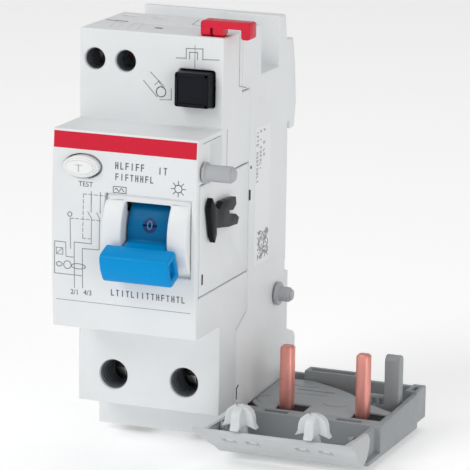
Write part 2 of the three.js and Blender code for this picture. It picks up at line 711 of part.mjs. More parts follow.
function addConductors() {
  const floor = BASE_BOTTOM + WALL + WIRE + GAP;
  const lane = floor + 1.1;
  const boreX = 2.6;
  const back = CORE.y + CORE.depth / 2 + 1.5 + GAP + WIRE + 0.1;
  const front = CORE.y - CORE.depth / 2 - 3.4;
  const routes = [-1, 1].map((side) => {
    const x = side * boreX;
    const pinX = pinXs[side < 0 ? 1 : 0];
    const laneY = side < 0 ? back - 0.2 : -11;
    return [
      [(side * MODULE) / 2, CLAMP_Y, WELL_Z + 2.6],
      [(side * MODULE) / 2, CLAMP_Y, -29],
      [side * 4.4, front - 1, -14],
      [x, front + 0.6, CORE.z - 1.2],
      [x, CORE.y, CORE.z],
      [x, back - 1.2, CORE.z - 1.2],
      [x, back, -12],
      [x, back, -30],
      [x, back, -42],
      [x + 0.8, (back + laneY) / 2, lane + 1.4],
      [x + 4.5, laneY, lane],
      [pinX - 12, laneY, lane],
      [pinX - 7.5, Math.min(laneY, -6) - 3, lane],
      [pinX - 6, -17, lane],
      [pinX - PIN_SIZE / 2 - WIRE - GAP - 0.6, PIN_Y + 0.6, lane],
    ];
  });
  routes.forEach((route, i) => piece(`conductor_${i + 1}`, swept(route, WIRE, WIRE, 44), "copper"));
  pinXs.forEach((x, i) => {
    const section = (inset) => {
      const half = PIN_SIZE / 2 - inset;
      return rectangle(x - half, x + half, PIN_Y - half, PIN_Y + half, 0.9 - inset / 2);
    };
    const body = alongZ(section(0), floor - WIRE, PIN_TOP - 0.3, 2);
    piece(`copper_pin_${i + 1}`, join(body, alongZ(section(0.25), PIN_TOP - 0.4, PIN_TOP, 2)), "copper");
  });
}

/** Cheese-head screw on local +Z with its slot on top at z = 0 and its shank going down. */
function terminalScrew(headRadius, headHeight, shankRadius, length) {
  const slot = 0.9;
  const head = alongZ(ellipse(0, 0, headRadius), -headHeight, 0, 8);
  const shank = alongZ(ellipse(0, 0, shankRadius), -length, -headHeight + 0.2, 5);
  const cross = [
    box(-headRadius - 1, headRadius + 1, -slot / 2, slot / 2, -headHeight * 0.45, 1),
    box(-slot / 2, slot / 2, -headRadius * 0.62, headRadius * 0.62, -headHeight * 0.6, 1),
  ];
  return cut(join(head, shank), ...cross);
}

function clampCage() {
  const half = CAGE_WIDTH / 2;
  const outer = box(-half, half, 0, CAGE_DEPTH, -CAGE_HEIGHT / 2, CAGE_HEIGHT / 2);
  const mouth = box(-half + CAGE_WALL, half - CAGE_WALL, CAGE_WALL, CAGE_DEPTH - CAGE_WALL, -20, 20);
  return cut(outer, mouth, alongY(ellipse(0, 0, SHANK + GAP), -1, CAGE_WALL + 1));
}

function addTerminals() {
  const shankEnd = CLAMP_Y - WIRE - GAP - HEAD_FRONT;
  mainXs.forEach((x, i) => {
    const screw = terminalScrew(SCREW_HEAD, HEAD_HEIGHT, SHANK, shankEnd);
    piece(`terminal_screw_${i + 1}`, screw, "steel", [x, HEAD_FRONT, WELL_Z], [90, 0, 0]);
    piece(`clamp_cage_${i + 1}`, clampCage(), "steel", [x, CAGE_FRONT, WELL_Z]);
  });
  const auxHeight = 1.6;
  const auxShank = 0.9;
  auxXs.forEach((x, i) => {
    const screw = terminalScrew(AUX_HEAD, auxHeight, auxShank, 5);
    piece(`aux_screw_${i + 1}`, screw, "steel", [x, HEAD_FRONT, AUX_Z], [90, 0, 0]);
    const front = HEAD_FRONT + auxHeight + GAP;
    const half = 1.8;
    const block = box(x - half, x + half, front, front + 7, AUX_Z - 3.4, AUX_Z + 3.4);
    const bore = alongY(ellipse(x, AUX_Z, auxShank + GAP), front - 1, front + 4.6);
    const wire = alongZ(ellipse(x, front + 4.4, 1.2), AUX_Z, AUX_Z + 5);
    piece(`aux_terminal_${i + 1}`, cut(block, bore, wire), "copper");
  });
}

// ---- rail latch and pegs ----------------------------------------------------------------------
function addRailLatch() {
  const bottom = BASE_BOTTOM - 1.6;
  const side = outline([
    [LATCH_FRONT, bottom],
    [LATCH_BACK, bottom],
    [LATCH_BACK, LATCH_NOSE - 1.6],
    [LATCH_BACK - 1.6, LATCH_NOSE],
    [1.3, LATCH_NOSE],
    [1.3, -RAIL / 2 - 1],
    [LATCH_FRONT, -RAIL / 2 - 1],
  ]);
  const plate = alongX(side, -LATCH_HALF, LATCH_HALF);
  const eye = alongY(rectangle(-2.4, 2.4, bottom + 1.4, bottom + 3.4, 0.8), -1, 9, 2);
  const slotTop = LUG_TOP + LATCH_SPRING + 2 * GAP;
  const springSlot = box(-LUG_HALF - 0.4, LUG_HALF + 0.4, -1, LATCH_BACK + 1, LUG_TOP - 1.8, slotTop);
  const middle = (LATCH_FRONT + LATCH_BACK) / 2;
  piece("rail_latch", cut(plate, eye, springSlot), "armGrey");
  piece("latch_spring", coil(1.2, 0.25, LATCH_SPRING, 5), "steel", [0, middle, LUG_TOP + GAP]);
}

function addPegs() {
  const pegs = [
    { name: "peg_upper", y: -52.2, z: 15.6, collar: 2.4, pin: 1.9, length: 7.6 },
    { name: "peg_lower", y: -6, z: -22.2, collar: 2.8, pin: 1.75, length: 4.2 },
  ];
  for (const { name, y, z, collar, pin, length } of pegs) {
    const start = blockRight + GAP;
    const body = join(
      alongX(ellipse(y, z, collar), start, start + 0.8, 10),
      alongX(ellipse(y, z, pin), start + 0.5, blockRight + length - 0.6, 10),
      alongX(ellipse(y, z, pin - 0.45), start + 0.5, blockRight + length, 10),
    );
    piece(name, body, "peg");
  }
}

// ---- arm and flap -----------------------------------------------------------------------------
/** Height of the arm's top at a given Y. */
function armTop(y) {
  return ARM_TOP - (ARM_FALL * (ARM_BACK - y)) / (ARM_BACK - BASE_FRONT);
}

const SHELF_FRONT = -37.5; // shelf that reaches forward under the flap
const STRIP_DEPTH = 3.6; // front strip of the arm, with its two slots
// rear edge of the cover, from the arm's left end
const COVER_EDGE = [[2.7, -0.6], [8.2, -0.3], [14.2, -3.2], [19.2, -6], [27.2, -12.6], [33.2, -16.2]];

/** Open tray of the arm with the shelf that reaches forward under the flap. */
function armTray() {
  const side = outline([
    [BASE_FRONT, BASE_BOTTOM],
    [-3.4, BASE_BOTTOM],
    [-3.4, -50.2],
    [ARM_BACK, -50.2],
    [ARM_BACK, ARM_TOP],
    [BASE_FRONT, armTop(BASE_FRONT)],
  ]);
  const floor = BASE_BOTTOM + ARM_WALL;
  const inside = outline([
    [BASE_FRONT + ARM_WALL, floor],
    [-4.8, floor],
    [ARM_BACK - ARM_WALL, -49],
    [ARM_BACK - ARM_WALL, 0],
    [BASE_FRONT + STRIP_DEPTH, 0],
    [BASE_FRONT + STRIP_DEPTH, armTop(BASE_FRONT) - 1.4],
    [BASE_FRONT + ARM_WALL, armTop(BASE_FRONT) - 1.4],
  ]);
  const tray = cut(
    alongX(side, armLeft, armRight),
    alongX(inside, armLeft - 1, armRight - ARM_WALL),
  );
  return join(tray, box(armLeft, armRight, SHELF_FRONT, BASE_FRONT + 0.2, BASE_BOTTOM, BASE_BOTTOM + 1.1));
}

/** Two ears ahead of the arm that carry the flap's hinge. */
function hingeEars() {
  const thickness = 1.2;
  const ear = outline([
    [BASE_FRONT + 0.2, BASE_BOTTOM],
    [-36.6, BASE_BOTTOM],
    [-38.8, -48.6],
    [HINGE_Y - 0.2, HINGE_Z - 1.9],
    [HINGE_Y - 1.4, HINGE_Z - 1.2],
    [HINGE_Y - 1.5, HINGE_Z],
    [HINGE_Y - 0.8, HINGE_Z + 1.4],
    [-38, armTop(-38)],
    [BASE_FRONT + 0.2, armTop(BASE_FRONT) - 0.4],
  ]);
  const lefts = [armLeft + FLAP_WALL + GAP, armRight - FLAP_WALL - GAP - thickness];
  return lefts.map((x) => alongX(ear, x, x + thickness));
}

/** Raised rim at the arm's back, snap tongue, corner post and a low wall with two windows. */
function armFittings() {
  const rimLeft = armLeft + 5.6;
  const rimRight = rimLeft + 13;
  const rim = cut(
    box(rimLeft, rimRight, -1.6, ARM_BACK, -49.5, -41.4),
    box(rimLeft + 1, rimRight - 1, -0.7, ARM_BACK - 0.9, -48.4, -40),
  );
  const tongueSide = rectangle(-12, -8.9, BASE_BOTTOM + 0.2, -32.6, 1.5);
  const tongue = alongX(tongueSide, armRight - 5.5, armRight - 1.9, 4);
  const post = cut(
    box(armRight - 3.1, armRight, -4, ARM_BACK, -50.4, ARM_TOP + 0.3),
    box(armRight - 2, armRight - 0.9, -3, 0.6, -46, -40),
  );
  const wallLeft = armRight - 9.5;
  const windows = cut(
    box(wallLeft, wallLeft + 4.4, -10.9, -9.6, -50.6, -42.6),
    box(wallLeft + 0.7, wallLeft + 1.7, -12, -9, -45, -43.4),
    box(wallLeft + 2.6, wallLeft + 3.6, -12, -9, -45, -43.4),
  );
  return [rim, tongue, post, windows];
}

function armBase() {
  const slotHalf = 3;
  const slotBottom = armTop(BASE_FRONT) - 3;
  const bore = alongX(ellipse(HINGE_Y, HINGE_Z, HINGE_RADIUS + SNUG), armLeft - 1, armRight + 1, 8);
  const slots = [blockRight + MODULE / 2, blockRight + 1.5 * MODULE + 0.4].map((x) =>
    box(x - slotHalf, x + slotHalf, BASE_FRONT + 0.9, BASE_FRONT + 2.9, slotBottom, ARM_TOP + 1),
  );
  return cut(join(armTray(), ...hingeEars(), ...armFittings()), bore, ...slots);
}

function armCover() {
  const front = BASE_FRONT + STRIP_DEPTH + GAP;
  const left = armLeft + 0.2;
  const right = armRight - ARM_WALL - GAP;
  const inset = 0.5;
  const edge = COVER_EDGE.map(([x, y]) => [armLeft + x, y - inset - 1.2]);
  const plan = outline([
    [left + 3.4, front],
    [right, front],
    [right, edge[edge.length - 1][1]],
    ...edge.slice().reverse(),
    [left, edge[0][1] - 0.5],
    [left, front + 4],
  ]);
  const thickness = 1.3;
  const drop = 0.35;
  // the plate follows the slope of the arm's top
  const back = ARM_BACK;
  const slope = outline([
    [front - 1, armTop(front - 1) - drop],
    [front - 1, armTop(front - 1) - drop - thickness],
    [back, armTop(back) - drop - thickness],
    [back, armTop(back) - drop],
  ].reverse());
  const plate = alongZ(plan, BASE_BOTTOM, ARM_TOP + 2).intersect(alongX(slope, left - 1, right + 1));
  const half = PIN_SIZE / 2;
  const above = ARM_TOP + 3;
  const sockets = pinXs.map((x) =>
    box(x - half - 0.5, x + half + 3.6, front - 1, PIN_Y + half + 0.9, BASE_BOTTOM, above),
  );
  const groove = box(armLeft + 6.6, armLeft + 16, -9.6, -8.8, armTop(-9) - drop - 0.5, above);
  return cut(plate, ...sockets, groove);
}

const FREE_EDGE = { y: -53.4, z: -43.5 };
const LOW_EDGE = { y: -41.2, z: -51.2 };
const FLARE = 1.9;
const PLUG_Y = -49.8;
const PLUG_STEM = 1.7;
const PLUG_BASE = -46.6;
const LEG_OFFSET = 2.8; // snap legs of a plug, to each side of its stem
const plugXs = [blockRight + MODULE / 2, blockRight + 1.5 * MODULE];
const plateLength = Math.hypot(FREE_EDGE.y - LOW_EDGE.y, FREE_EDGE.z - LOW_EDGE.z);

/** Point on the flap's plate: along it from the lower edge, and inwards from its outer face. */
function platePoint(along, inwards) {
  const dy = (FREE_EDGE.y - LOW_EDGE.y) / plateLength;
  const dz = (FREE_EDGE.z - LOW_EDGE.z) / plateLength;
  return [LOW_EDGE.y + dy * along + dz * inwards, LOW_EDGE.z + dz * along - dy * inwards];
}

/** Slab parallel to the flap's plate, between two depths from its outer face. */
function plateSlab(x0, x1, outer, inner) {
  const reach = 12;
  const corners = [
    platePoint(-reach, outer),
    platePoint(-reach, inner),
    platePoint(plateLength + reach, inner),
    platePoint(plateLength + reach, outer),
  ];
  return alongX(outline(corners), x0, x1);
}

function flap() {
  const left = armLeft;
  const right = armRight;
  const lip = 1.6;
  const plateSide = outline([
    platePoint(0, 0),
    platePoint(-0.6, 1.3),
    platePoint(0.6, FLAP_WALL + 0.9),
    platePoint(lip, FLAP_WALL),
    platePoint(plateLength, FLAP_WALL),
    platePoint(plateLength, 0),
  ]);
  // seen from above, its ends flare out from the lower edge to the free edge
  const flareStart = LOW_EDGE.y - 3;
  const plan = outline([
    [left, 0],
    [right, 0],
    [right, flareStart],
    [right + FLARE, FREE_EDGE.y + 1],
    [right + FLARE, FREE_EDGE.y - 2],
    [left - FLARE, FREE_EDGE.y - 2],
    [left - FLARE, FREE_EDGE.y + 1],
    [left, flareStart],
  ].reverse());
  const plate = alongX(plateSide, left - FLARE, right + FLARE).intersect(alongZ(plan, -60, -40));
  const cheekSide = outline([
    platePoint(0, 0.4),
    [-38.4, -49.6],
    [-37, -47.4],
    [-36.6, -45.4],
    [-38.2, ARM_TOP - 0.7],
    platePoint(plateLength - 1.2, FLAP_WALL + 0.1),
    platePoint(plateLength - 1.2, 0.4),
  ]);
  const cheeks = [left, right - FLAP_WALL].map((x) => alongX(cheekSide, x, x + FLAP_WALL));
  const journals = [
    alongX(ellipse(HINGE_Y, HINGE_Z, HINGE_RADIUS), left + 0.5, left + FLAP_WALL + GAP + 1.1, 8),
    alongX(ellipse(HINGE_Y, HINGE_Z, HINGE_RADIUS), right - FLAP_WALL - GAP - 1.1, right - 0.5, 8),
  ];
  let body = join(plate, ...cheeks, ...journals);
  for (const x of plugXs) {
    for (const side of [-1, 1]) {
      const middle = x + side * LEG_OFFSET;
      body = cut(body, box(middle - 1.6, middle + 1.6, PLUG_Y - 0.6, PLUG_Y + 1.6, -60, -40));
    }
  }
  return body;
}

/** Barbed plug at the given X: stem, four barbed fins under a rounded head, foot and snap legs. */
function lockingPlug(x) {
  const top = PLUG_BASE + 9.5;
  const low = top - 5.2;
  // half-widths of a fin: a flared barb, a straight flank and a rounded head
  const side = [
    [4.2, low],
    [3.5, low + 1.1],
    [3.35, low + 2.8],
    [2.9, low + 4],
    [2, top - 0.4],
    [0.9, top],
  ];
  const fin = (middle) => {
    const rightHalf = side.map(([reach, z]) => [middle + reach, z]);
    const leftHalf = side.map(([reach, z]) => [middle - reach, z]).reverse();
    const under = [[middle - PLUG_STEM, low + 0.8], [middle + PLUG_STEM, low + 0.8]];
    return outline([...rightHalf, ...leftHalf, ...under]);
  };
  const thick = 1.1;
  const stem = alongZ(ellipse(x, PLUG_Y, PLUG_STEM), PLUG_BASE - 2, top - 1, 6);
  const foot = box(x - 4.3, x + 4.3, PLUG_Y - 0.8, PLUG_Y + 1.6, PLUG_BASE - 2, PLUG_BASE + 2.6);
  const below = plateSlab(x - 9, x + 9, -20, FLAP_WALL + GAP);
  const head = join(
    cut(join(stem, foot), below),
    alongY(fin(x), PLUG_Y - thick, PLUG_Y + thick),
    alongX(fin(PLUG_Y), x - thick, x + thick),
  );
  const legs = [-1, 1].map((direction) => {
    const middle = x + direction * LEG_OFFSET;
    const leg = box(middle - 0.9, middle + 0.9, PLUG_Y + 0.2, PLUG_Y + 1.3, PLUG_BASE - 3, PLUG_BASE + 2);
    return cut(leg, plateSlab(x - 9, x + 9, -20, 0.3));
  });
  return join(head, ...legs);
}

function addArm() {
  piece("arm_base", armBase(), "armGrey");
  piece("arm_cover", armCover(), "armLight");
  piece("flap", flap(), "flap");
  plugXs.forEach((x, i) => {
    piece(`locking_plug_${i + 1}`, lockingPlug(x), "plug");
  });
}

// ---- the whole object -------------------------------------------------------------------------
piece("front_shell", frontShell(), "housing");
piece("rear_base", rearBase(), "housing");
piece("side_panel", sidePanel(), "housing");
addToggle();
addTestButton();
addLockButton();
piece("coupling_clip", couplingClip(), "red");
addTripMechanism();
addTransformer();
addConductors();
addTerminals();
addRailLatch();
addPegs();
addArm();

export default model;
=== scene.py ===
"""Looks of an add-on residual current block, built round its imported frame.

The housing stands on the left with its toggle, buttons and printed label. The low arm on the
right carries two copper pins and a flap with two locking plugs. Lengths are in millimetres in the
row frame, and become metres only when a mesh is made.
"""

import logging
import math
from dataclasses import dataclass
from enum import Enum
from functools import lru_cache
from typing import Iterable, Protocol, Sequence

import bmesh
import bpy
from mathutils import Matrix, Vector


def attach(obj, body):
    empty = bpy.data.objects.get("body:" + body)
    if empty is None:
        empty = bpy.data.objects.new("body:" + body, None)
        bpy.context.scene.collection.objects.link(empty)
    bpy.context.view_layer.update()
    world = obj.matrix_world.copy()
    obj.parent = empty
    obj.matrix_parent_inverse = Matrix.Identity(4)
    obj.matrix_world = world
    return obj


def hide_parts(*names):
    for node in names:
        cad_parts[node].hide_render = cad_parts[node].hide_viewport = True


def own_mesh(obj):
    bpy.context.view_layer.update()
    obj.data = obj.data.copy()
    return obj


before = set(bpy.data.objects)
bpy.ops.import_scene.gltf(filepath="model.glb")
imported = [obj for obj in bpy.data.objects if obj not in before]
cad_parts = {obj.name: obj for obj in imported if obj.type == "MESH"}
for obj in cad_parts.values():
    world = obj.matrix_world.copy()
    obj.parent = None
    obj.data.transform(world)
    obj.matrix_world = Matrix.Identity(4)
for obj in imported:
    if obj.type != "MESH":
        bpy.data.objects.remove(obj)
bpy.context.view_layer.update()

LOG = logging.getLogger("residual_current_block")
MM = 0.001
MERGE_WITHIN = 1e-6  # metres: corners of loose triangles that are one corner
MERGE_MARKS_WITHIN = 1e-8  # metres: printed marks are far thinner than mouldings
FLAT_WITHIN = 0.3  # degrees: faces that are one flat face
ROUND_BELOW = 38.0  # degrees: edges of a rounded piece that shade smooth
MARK_ROUND_BELOW = 30.0
WIRE_ROUND_BELOW = 60.0
RIB_ROUND_BELOW = 25.0
FORWARD_TO_BACK = (-90, 0, 0)  # degrees: turns a spring along Y
CAPITAL_SHARE = 0.7  # height of a capital, as a share of a font's size

Colour = tuple[float, float, float]
Point = tuple[float, float]


# ---- shader trees ---------------------------------------------------------------------------
class Shader:
    """A material while its nodes are being written."""

    def __init__(self, name: str, colour: Colour, roughness: float, metallic: float) -> None:
        """Starts a material with one surface shader.

        Args:
            name: The material's name.
            colour: Base colour, linear.
            roughness: Roughness of the surface.
            metallic: 1 for bare metal, else 0.
        """
        self.material = bpy.data.materials.new(name)
        self.material.use_nodes = True
        self.tree = self.material.node_tree
        self.tree.nodes.clear()
        self.surface = self.tree.nodes.new("ShaderNodeBsdfPrincipled")
        output = self.tree.nodes.new("ShaderNodeOutputMaterial")
        self.tree.links.new(self.surface.outputs["BSDF"], output.inputs["Surface"])
        self.surface.inputs["Base Color"].default_value = (*colour, 1.0)
        self.surface.inputs["Roughness"].default_value = roughness
        self.surface.inputs["Metallic"].default_value = metallic
        self.place = self.tree.nodes.new("ShaderNodeTexCoord").outputs["Object"]

    def node(self, kind: str, **inputs: object) -> bpy.types.Node:
        """Adds a node and sets or links its inputs.

        Args:
            kind: The node's type.
            inputs: Input name, with underscores for spaces, to a value or an output socket.

        Returns:
            The new node.
        """
        node = self.tree.nodes.new(kind)
        for name, value in inputs.items():
            self.feed(node.inputs[name.replace("_", " ")], value)
        return node

    def feed(self, socket: bpy.types.NodeSocket, value: object) -> None:
        """Links an output to a socket, or sets the socket's value.

        Args:
            socket: The input.
            value: A value, or an output socket.
        """
        if isinstance(value, bpy.types.NodeSocket):
            self.tree.links.new(value, socket)
        else:
            socket.default_value = value

    def noise(
        self, scale: float, detail: float, stretch: Sequence[float] = (1, 1, 1)
    ) -> bpy.types.NodeSocket:
        """Noise on the object's own coordinates.

        Args:
            scale: Features per metre.
            detail: Octaves of the noise.
            stretch: Scale along X, Y and Z before the noise.

        Returns:
            The noise value's socket.
        """
        mapping = self.node("ShaderNodeMapping", Vector=self.place, Scale=tuple(stretch))
        noise = self.node("ShaderNodeTexNoise", Vector=mapping.outputs[0], Scale=scale, Detail=detail)
        return noise.outputs["Fac"]

    def spread(self, value: bpy.types.NodeSocket, low: float, high: float) -> bpy.types.NodeSocket:
        """Maps the middle of a noise to a range of numbers.

        Args:
            value: The noise.
            low: Lowest number.
            high: Highest number.

        Returns:
            The mapped value's socket.
        """
        node = self.node("ShaderNodeMapRange", Value=value)
        for name, number in (("From Min", 0.3), ("From Max", 0.7), ("To Min", low), ("To Max", high)):
            node.inputs[name].default_value = number
        return node.outputs["Result"]

    def blend(self, share: bpy.types.NodeSocket, first: object, second: object) -> bpy.types.NodeSocket:
        """Mixes two colours by a share.

        Args:
            share: 0 for the first colour, 1 for the second.
            first: A colour or an output socket.
            second: A colour or an output socket.

        Returns:
            The mixed colour's socket.
        """
        mix = self.tree.nodes.new("ShaderNodeMix")
        mix.data_type = "RGBA"
        self.feed(mix.inputs["Factor"], share)
        self.feed(mix.inputs[6], first)
        self.feed(mix.inputs[7], second)
        return mix.outputs[2]

    def bump(self, height: bpy.types.NodeSocket, strength: float, depth: float) -> None:
        """Adds a fine relief to the surface.

        Args:
            height: The relief's height.
            strength: Strength of the relief.
            depth: Its depth in metres.
        """
        node = self.node("ShaderNodeBump", Height=height, Strength=strength, Distance=depth)
        if self.surface.inputs["Normal"].is_linked:
            self.feed(node.inputs["Normal"], self.surface.inputs["Normal"].links[0].from_socket)
        self.feed(self.surface.inputs["Normal"], node.outputs[0])


def scaled(colour: Colour, share: float) -> tuple[float, float, float, float]:
    """The colour made darker or lighter by a share, with full alpha."""
    return (*(min(1.0, part * share) for part in colour), 1.0)


@dataclass(frozen=True)
class Plastic:
    """Moulded plastic with a spark-eroded grain, faint mottling, and edges lightened for rubbing wear and
    as a painted highlight.
    """

    colour: Colour
    roughness: float = 0.42
    mottling: float = 0.03
    grain: float = 0.22
    edge_wear_and_highlight: float = 1.05
    sheen: float = 0.5

    def material(self, name: str) -> bpy.types.Material:
        """Builds the material.

        Args:
            name: The material's name.

        Returns:
            The finished material.
        """
        shader = Shader(name, self.colour, self.roughness, 0.0)
        shader.surface.inputs["Specular IOR Level"].default_value = self.sheen
        cloud = shader.spread(shader.noise(55.0, 4.0), 0.0, 1.0)
        dark = scaled(self.colour, 1.0 - self.mottling)
        light = scaled(self.colour, 1.0 + self.mottling)
        tone = shader.blend(cloud, dark, light)
        # Lighter where the surface is pointed: partly rubbing wear on edges, partly a painted highlight
        # on edges and rib crests.
        edge = shader.node("ShaderNodeNewGeometry").outputs["Pointiness"]
        wear_and_highlight = shader.node("ShaderNodeMapRange", Value=edge)
        for socket, number in (("From Min", 0.52), ("From Max", 0.62), ("To Min", 0.0), ("To Max", 0.6)):
            wear_and_highlight.inputs[socket].default_value = number
        tone = shader.blend(wear_and_highlight.outputs["Result"], tone, scaled(self.colour, self.edge_wear_and_highlight))
        tone = self.shaded(shader, tone)
        shader.feed(shader.surface.inputs["Base Color"], tone)
        rough = shader.spread(shader.noise(240.0, 3.0), self.roughness - 0.06, self.roughness + 0.08)
        shader.feed(shader.surface.inputs["Roughness"], rough)
        shader.bump(shader.noise(3800.0, 2.0), self.grain, 0.00003)
        shader.bump(shader.noise(130.0, 2.0), 0.1, 0.00008)
        return shader.material

    def shaded(self, shader: Shader, tone: bpy.types.NodeSocket) -> bpy.types.NodeSocket:
        """The tone after any painted shade; plain plastic has none."""
        return tone


@dataclass(frozen=True)
class DrumShadePlastic(Plastic):
    """Plastic with painted shade: darker near an axle along X, where the toggle's drum sits deep in its
    window.
    """

    axle: tuple[float, float] = (-46.0, 0.8)
    dark_to: float = 9.76
    light_from: float = 11.2
    share: float = 0.5

    def shaded(self, shader: Shader, tone: bpy.types.NodeSocket) -> bpy.types.NodeSocket:
        """The tone with painted shade, darker close to the axle.

        Args:
            shader: The material that is being written.
            tone: The tone so far.

        Returns:
            The shaded tone.
        """
        level = shader.node("ShaderNodeVectorMath", Vector=shader.place)
        level.operation = "MULTIPLY"
        level.inputs[1].default_value = (0.0, 1.0, 1.0)
        reach = shader.tree.nodes.new("ShaderNodeVectorMath")
        reach.operation = "DISTANCE"
        shader.feed(reach.inputs[0], level.outputs[0])
        reach.inputs[1].default_value = (0.0, self.axle[0] * MM, self.axle[1] * MM)
        near = shader.node("ShaderNodeMapRange", Value=reach.outputs["Value"])
        limits = (self.dark_to * MM, self.light_from * MM, 1.0, 0.0)
        for socket, number in zip(("From Min", "From Max", "To Min", "To Max"), limits):
            near.inputs[socket].default_value = number
        return shader.blend(near.outputs["Result"], tone, scaled(self.colour, self.share))


@dataclass(frozen=True)
class Metal:
    """Bare metal with drawing marks along one axis and dull blotches."""

    colour: Colour
    roughness: float = 0.34
    dull: float = 0.7
    along: tuple[float, float, float] = (1.0, 1.0, 0.04)
    marks: float = 0.25

    def material(self, name: str) -> bpy.types.Material:
        """Builds the material.

        Args:
            name: The material's name.

        Returns:
            The finished material.
        """
        shader = Shader(name, self.colour, self.roughness, 1.0)
        blotch = shader.spread(shader.noise(420.0, 5.0, (1.0, 1.0, 0.4)), 0.0, 1.0)
        streak = shader.noise(5200.0, 3.0, self.along)
        tone = shader.blend(blotch, scaled(self.colour, self.dull), (*self.colour, 1.0))
        tone = shader.blend(shader.spread(streak, 0.0, 0.35), tone, scaled(self.colour, 1.15))
        shader.feed(shader.surface.inputs["Base Color"], tone)
        rough = shader.spread(streak, self.roughness - 0.08, self.roughness + 0.14)
        shader.feed(shader.surface.inputs["Roughness"], rough)
        shader.bump(streak, self.marks, 0.00004)
        return shader.material


@dataclass(frozen=True)
class Ink:
    """Printed ink, a little uneven where it takes to the plastic."""

    colour: Colour
    roughness: float = 0.5
    cover: float = 0.12
    sheen: float = 0.3
    glow: float = 0.0

    def material(self, name: str) -> bpy.types.Material:
        """Builds the material.

        Args:
            name: The material's name.

        Returns:
            The finished material.
        """
        shader = Shader(name, self.colour, self.roughness, 0.0)
        shader.surface.inputs["Specular IOR Level"].default_value = self.sheen
        shader.surface.inputs["Emission Color"].default_value = (1.0, 1.0, 1.0, 1.0)
        shader.surface.inputs["Emission Strength"].default_value = self.glow
        speck = shader.spread(shader.noise(2600.0, 3.0), 0.0, 1.0)
        thin, full = scaled(self.colour, 1.0 - self.cover), scaled(self.colour, 1.0 + self.cover)
        tone = shader.blend(speck, thin, full)
        shader.feed(shader.surface.inputs["Base Color"], tone)
        shader.bump(speck, 0.12, 0.00002)
        return shader.material


class Finish(Enum):
    """Every finish on the block, with the record's slot that it belongs to."""

    HOUSING = ("housing", Plastic((0.77, 0.79, 0.80)))
    BEZEL = ("bezel", Plastic((0.80, 0.82, 0.83), 0.34, mottling=0.015, grain=0.06, sheen=0.35))
    ARM_GREY = ("arm_grey", Plastic((0.30, 0.32, 0.33), roughness=0.45))
    ARM_LIGHT = ("arm_light", Plastic((0.36, 0.38, 0.395), roughness=0.45))
    FLAP = ("flap", Plastic((0.50, 0.52, 0.53), roughness=0.4))
    PLUG = ("plug", Plastic((0.66, 0.68, 0.69), roughness=0.36, grain=0.1))
    PEG = ("peg", Plastic((0.42, 0.43, 0.45), roughness=0.4))
    BUTTON = ("button", Plastic((0.84, 0.85, 0.85), roughness=0.32, grain=0.08))
    # The toggle's blue carries painted shade: darker on the drum close to its axle.
    BLUE = ("blue", DrumShadePlastic((0.0, 0.265, 0.62), 0.32, mottling=0.05, grain=0.06, edge_wear_and_highlight=1.4, sheen=0.1))
    RED = ("red", Plastic((0.60, 0.010, 0.035), 0.34, mottling=0.05, grain=0.08, edge_wear_and_highlight=1.25, sheen=0.25))
    BLACK = ("black", Plastic((0.007, 0.008, 0.011), 0.34, grain=0.1, edge_wear_and_highlight=1.6, sheen=0.1))
    # The sleeve's strong edge lightening is a painted highlight on its rib crests.
    SLEEVE = ("core", Plastic((0.085, 0.092, 0.108), roughness=0.28, grain=0.06, edge_wear_and_highlight=3.0, sheen=0.9))
    COPPER = ("copper", Metal((0.96, 0.42, 0.36), roughness=0.46, dull=0.74))
    STEEL = ("steel", Metal((0.52, 0.53, 0.54), roughness=0.32, along=(1.0, 0.06, 1.0)))
    CORE = ("core", Plastic((0.05, 0.053, 0.058), roughness=0.5, edge_wear_and_highlight=1.6))
    WINDING = ("winding", Metal((0.62, 0.24, 0.09), roughness=0.4, along=(0.3, 1.0, 1.0)))
    RED_INK = ("housing", Ink((0.64, 0.016, 0.042), cover=0.04, sheen=0.15))
    DARK_INK = ("housing", Ink((0.13, 0.14, 0.15)))
    PALE_INK = ("housing", Ink((0.27, 0.285, 0.30)))
    SIDE_INK = ("housing", Ink((0.30, 0.32, 0.35)))
    SHADE_INK = ("button", Ink((0.52, 0.53, 0.54), cover=0.05))
    WHITE_INK = ("housing", Ink((0.82, 0.83, 0.84), cover=0.03))
    STICKER = ("housing", Ink((0.83, 0.84, 0.85), roughness=0.3, cover=0.02))
    # Dark grey: painted shade in fine grooves, and the real third colour band on the test resistor.
    SEAM = ("housing", Ink((0.16, 0.17, 0.18), roughness=0.8))
    # Near-black flat marks that stand for slots, holes and sockets: painted shade.
    HOLLOW_SHADE = ("housing", Ink((0.02, 0.021, 0.023), roughness=0.9))
    DRUM_INK = ("blue", Ink((0.004, 0.03, 0.12), roughness=0.35))
    DRUM_FIGURE = ("blue", Ink((0.05, 0.22, 0.42), roughness=0.35))

    @property
    def slot(self) -> str:
        """The record's material slot."""
        return self.value[0]

    @lru_cache(maxsize=None)
    def material(self) -> bpy.types.Material:
        """The finish's material, made once."""
        return self.value[1].material(self.name.lower())


# ---- meshes ---------------------------------------------------------------------------------
def settle(
    piece: bpy.types.Object, finish: Finish, body: str, replaces: Iterable[str] = ()
) -> bpy.types.Object:
    """Gives a finished piece its material and body.

    Args:
        piece: The piece, in place.
        finish: Its finish.
        body: The body it rides on.
        replaces: CAD nodes that it stands for.

    Returns:
        The piece.
    """
    piece.data.materials.clear()
    piece.data.materials.append(finish.material())
    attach(piece, body)
    finish.slot
    for node in replaces:
        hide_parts(node)
    LOG.info("%s: %d faces on %s", piece.name, len(piece.data.polygons), body)
    return piece


def linked(name: str, mesh: bpy.types.Mesh) -> bpy.types.Object:
    """A new object in the scene.

    Args:
        name: Its name.
        mesh: The mesh or curve that it shows.

    Returns:
        The object.
    """
    piece = bpy.data.objects.new(name, mesh)
    bpy.context.scene.collection.objects.link(piece)
    return piece


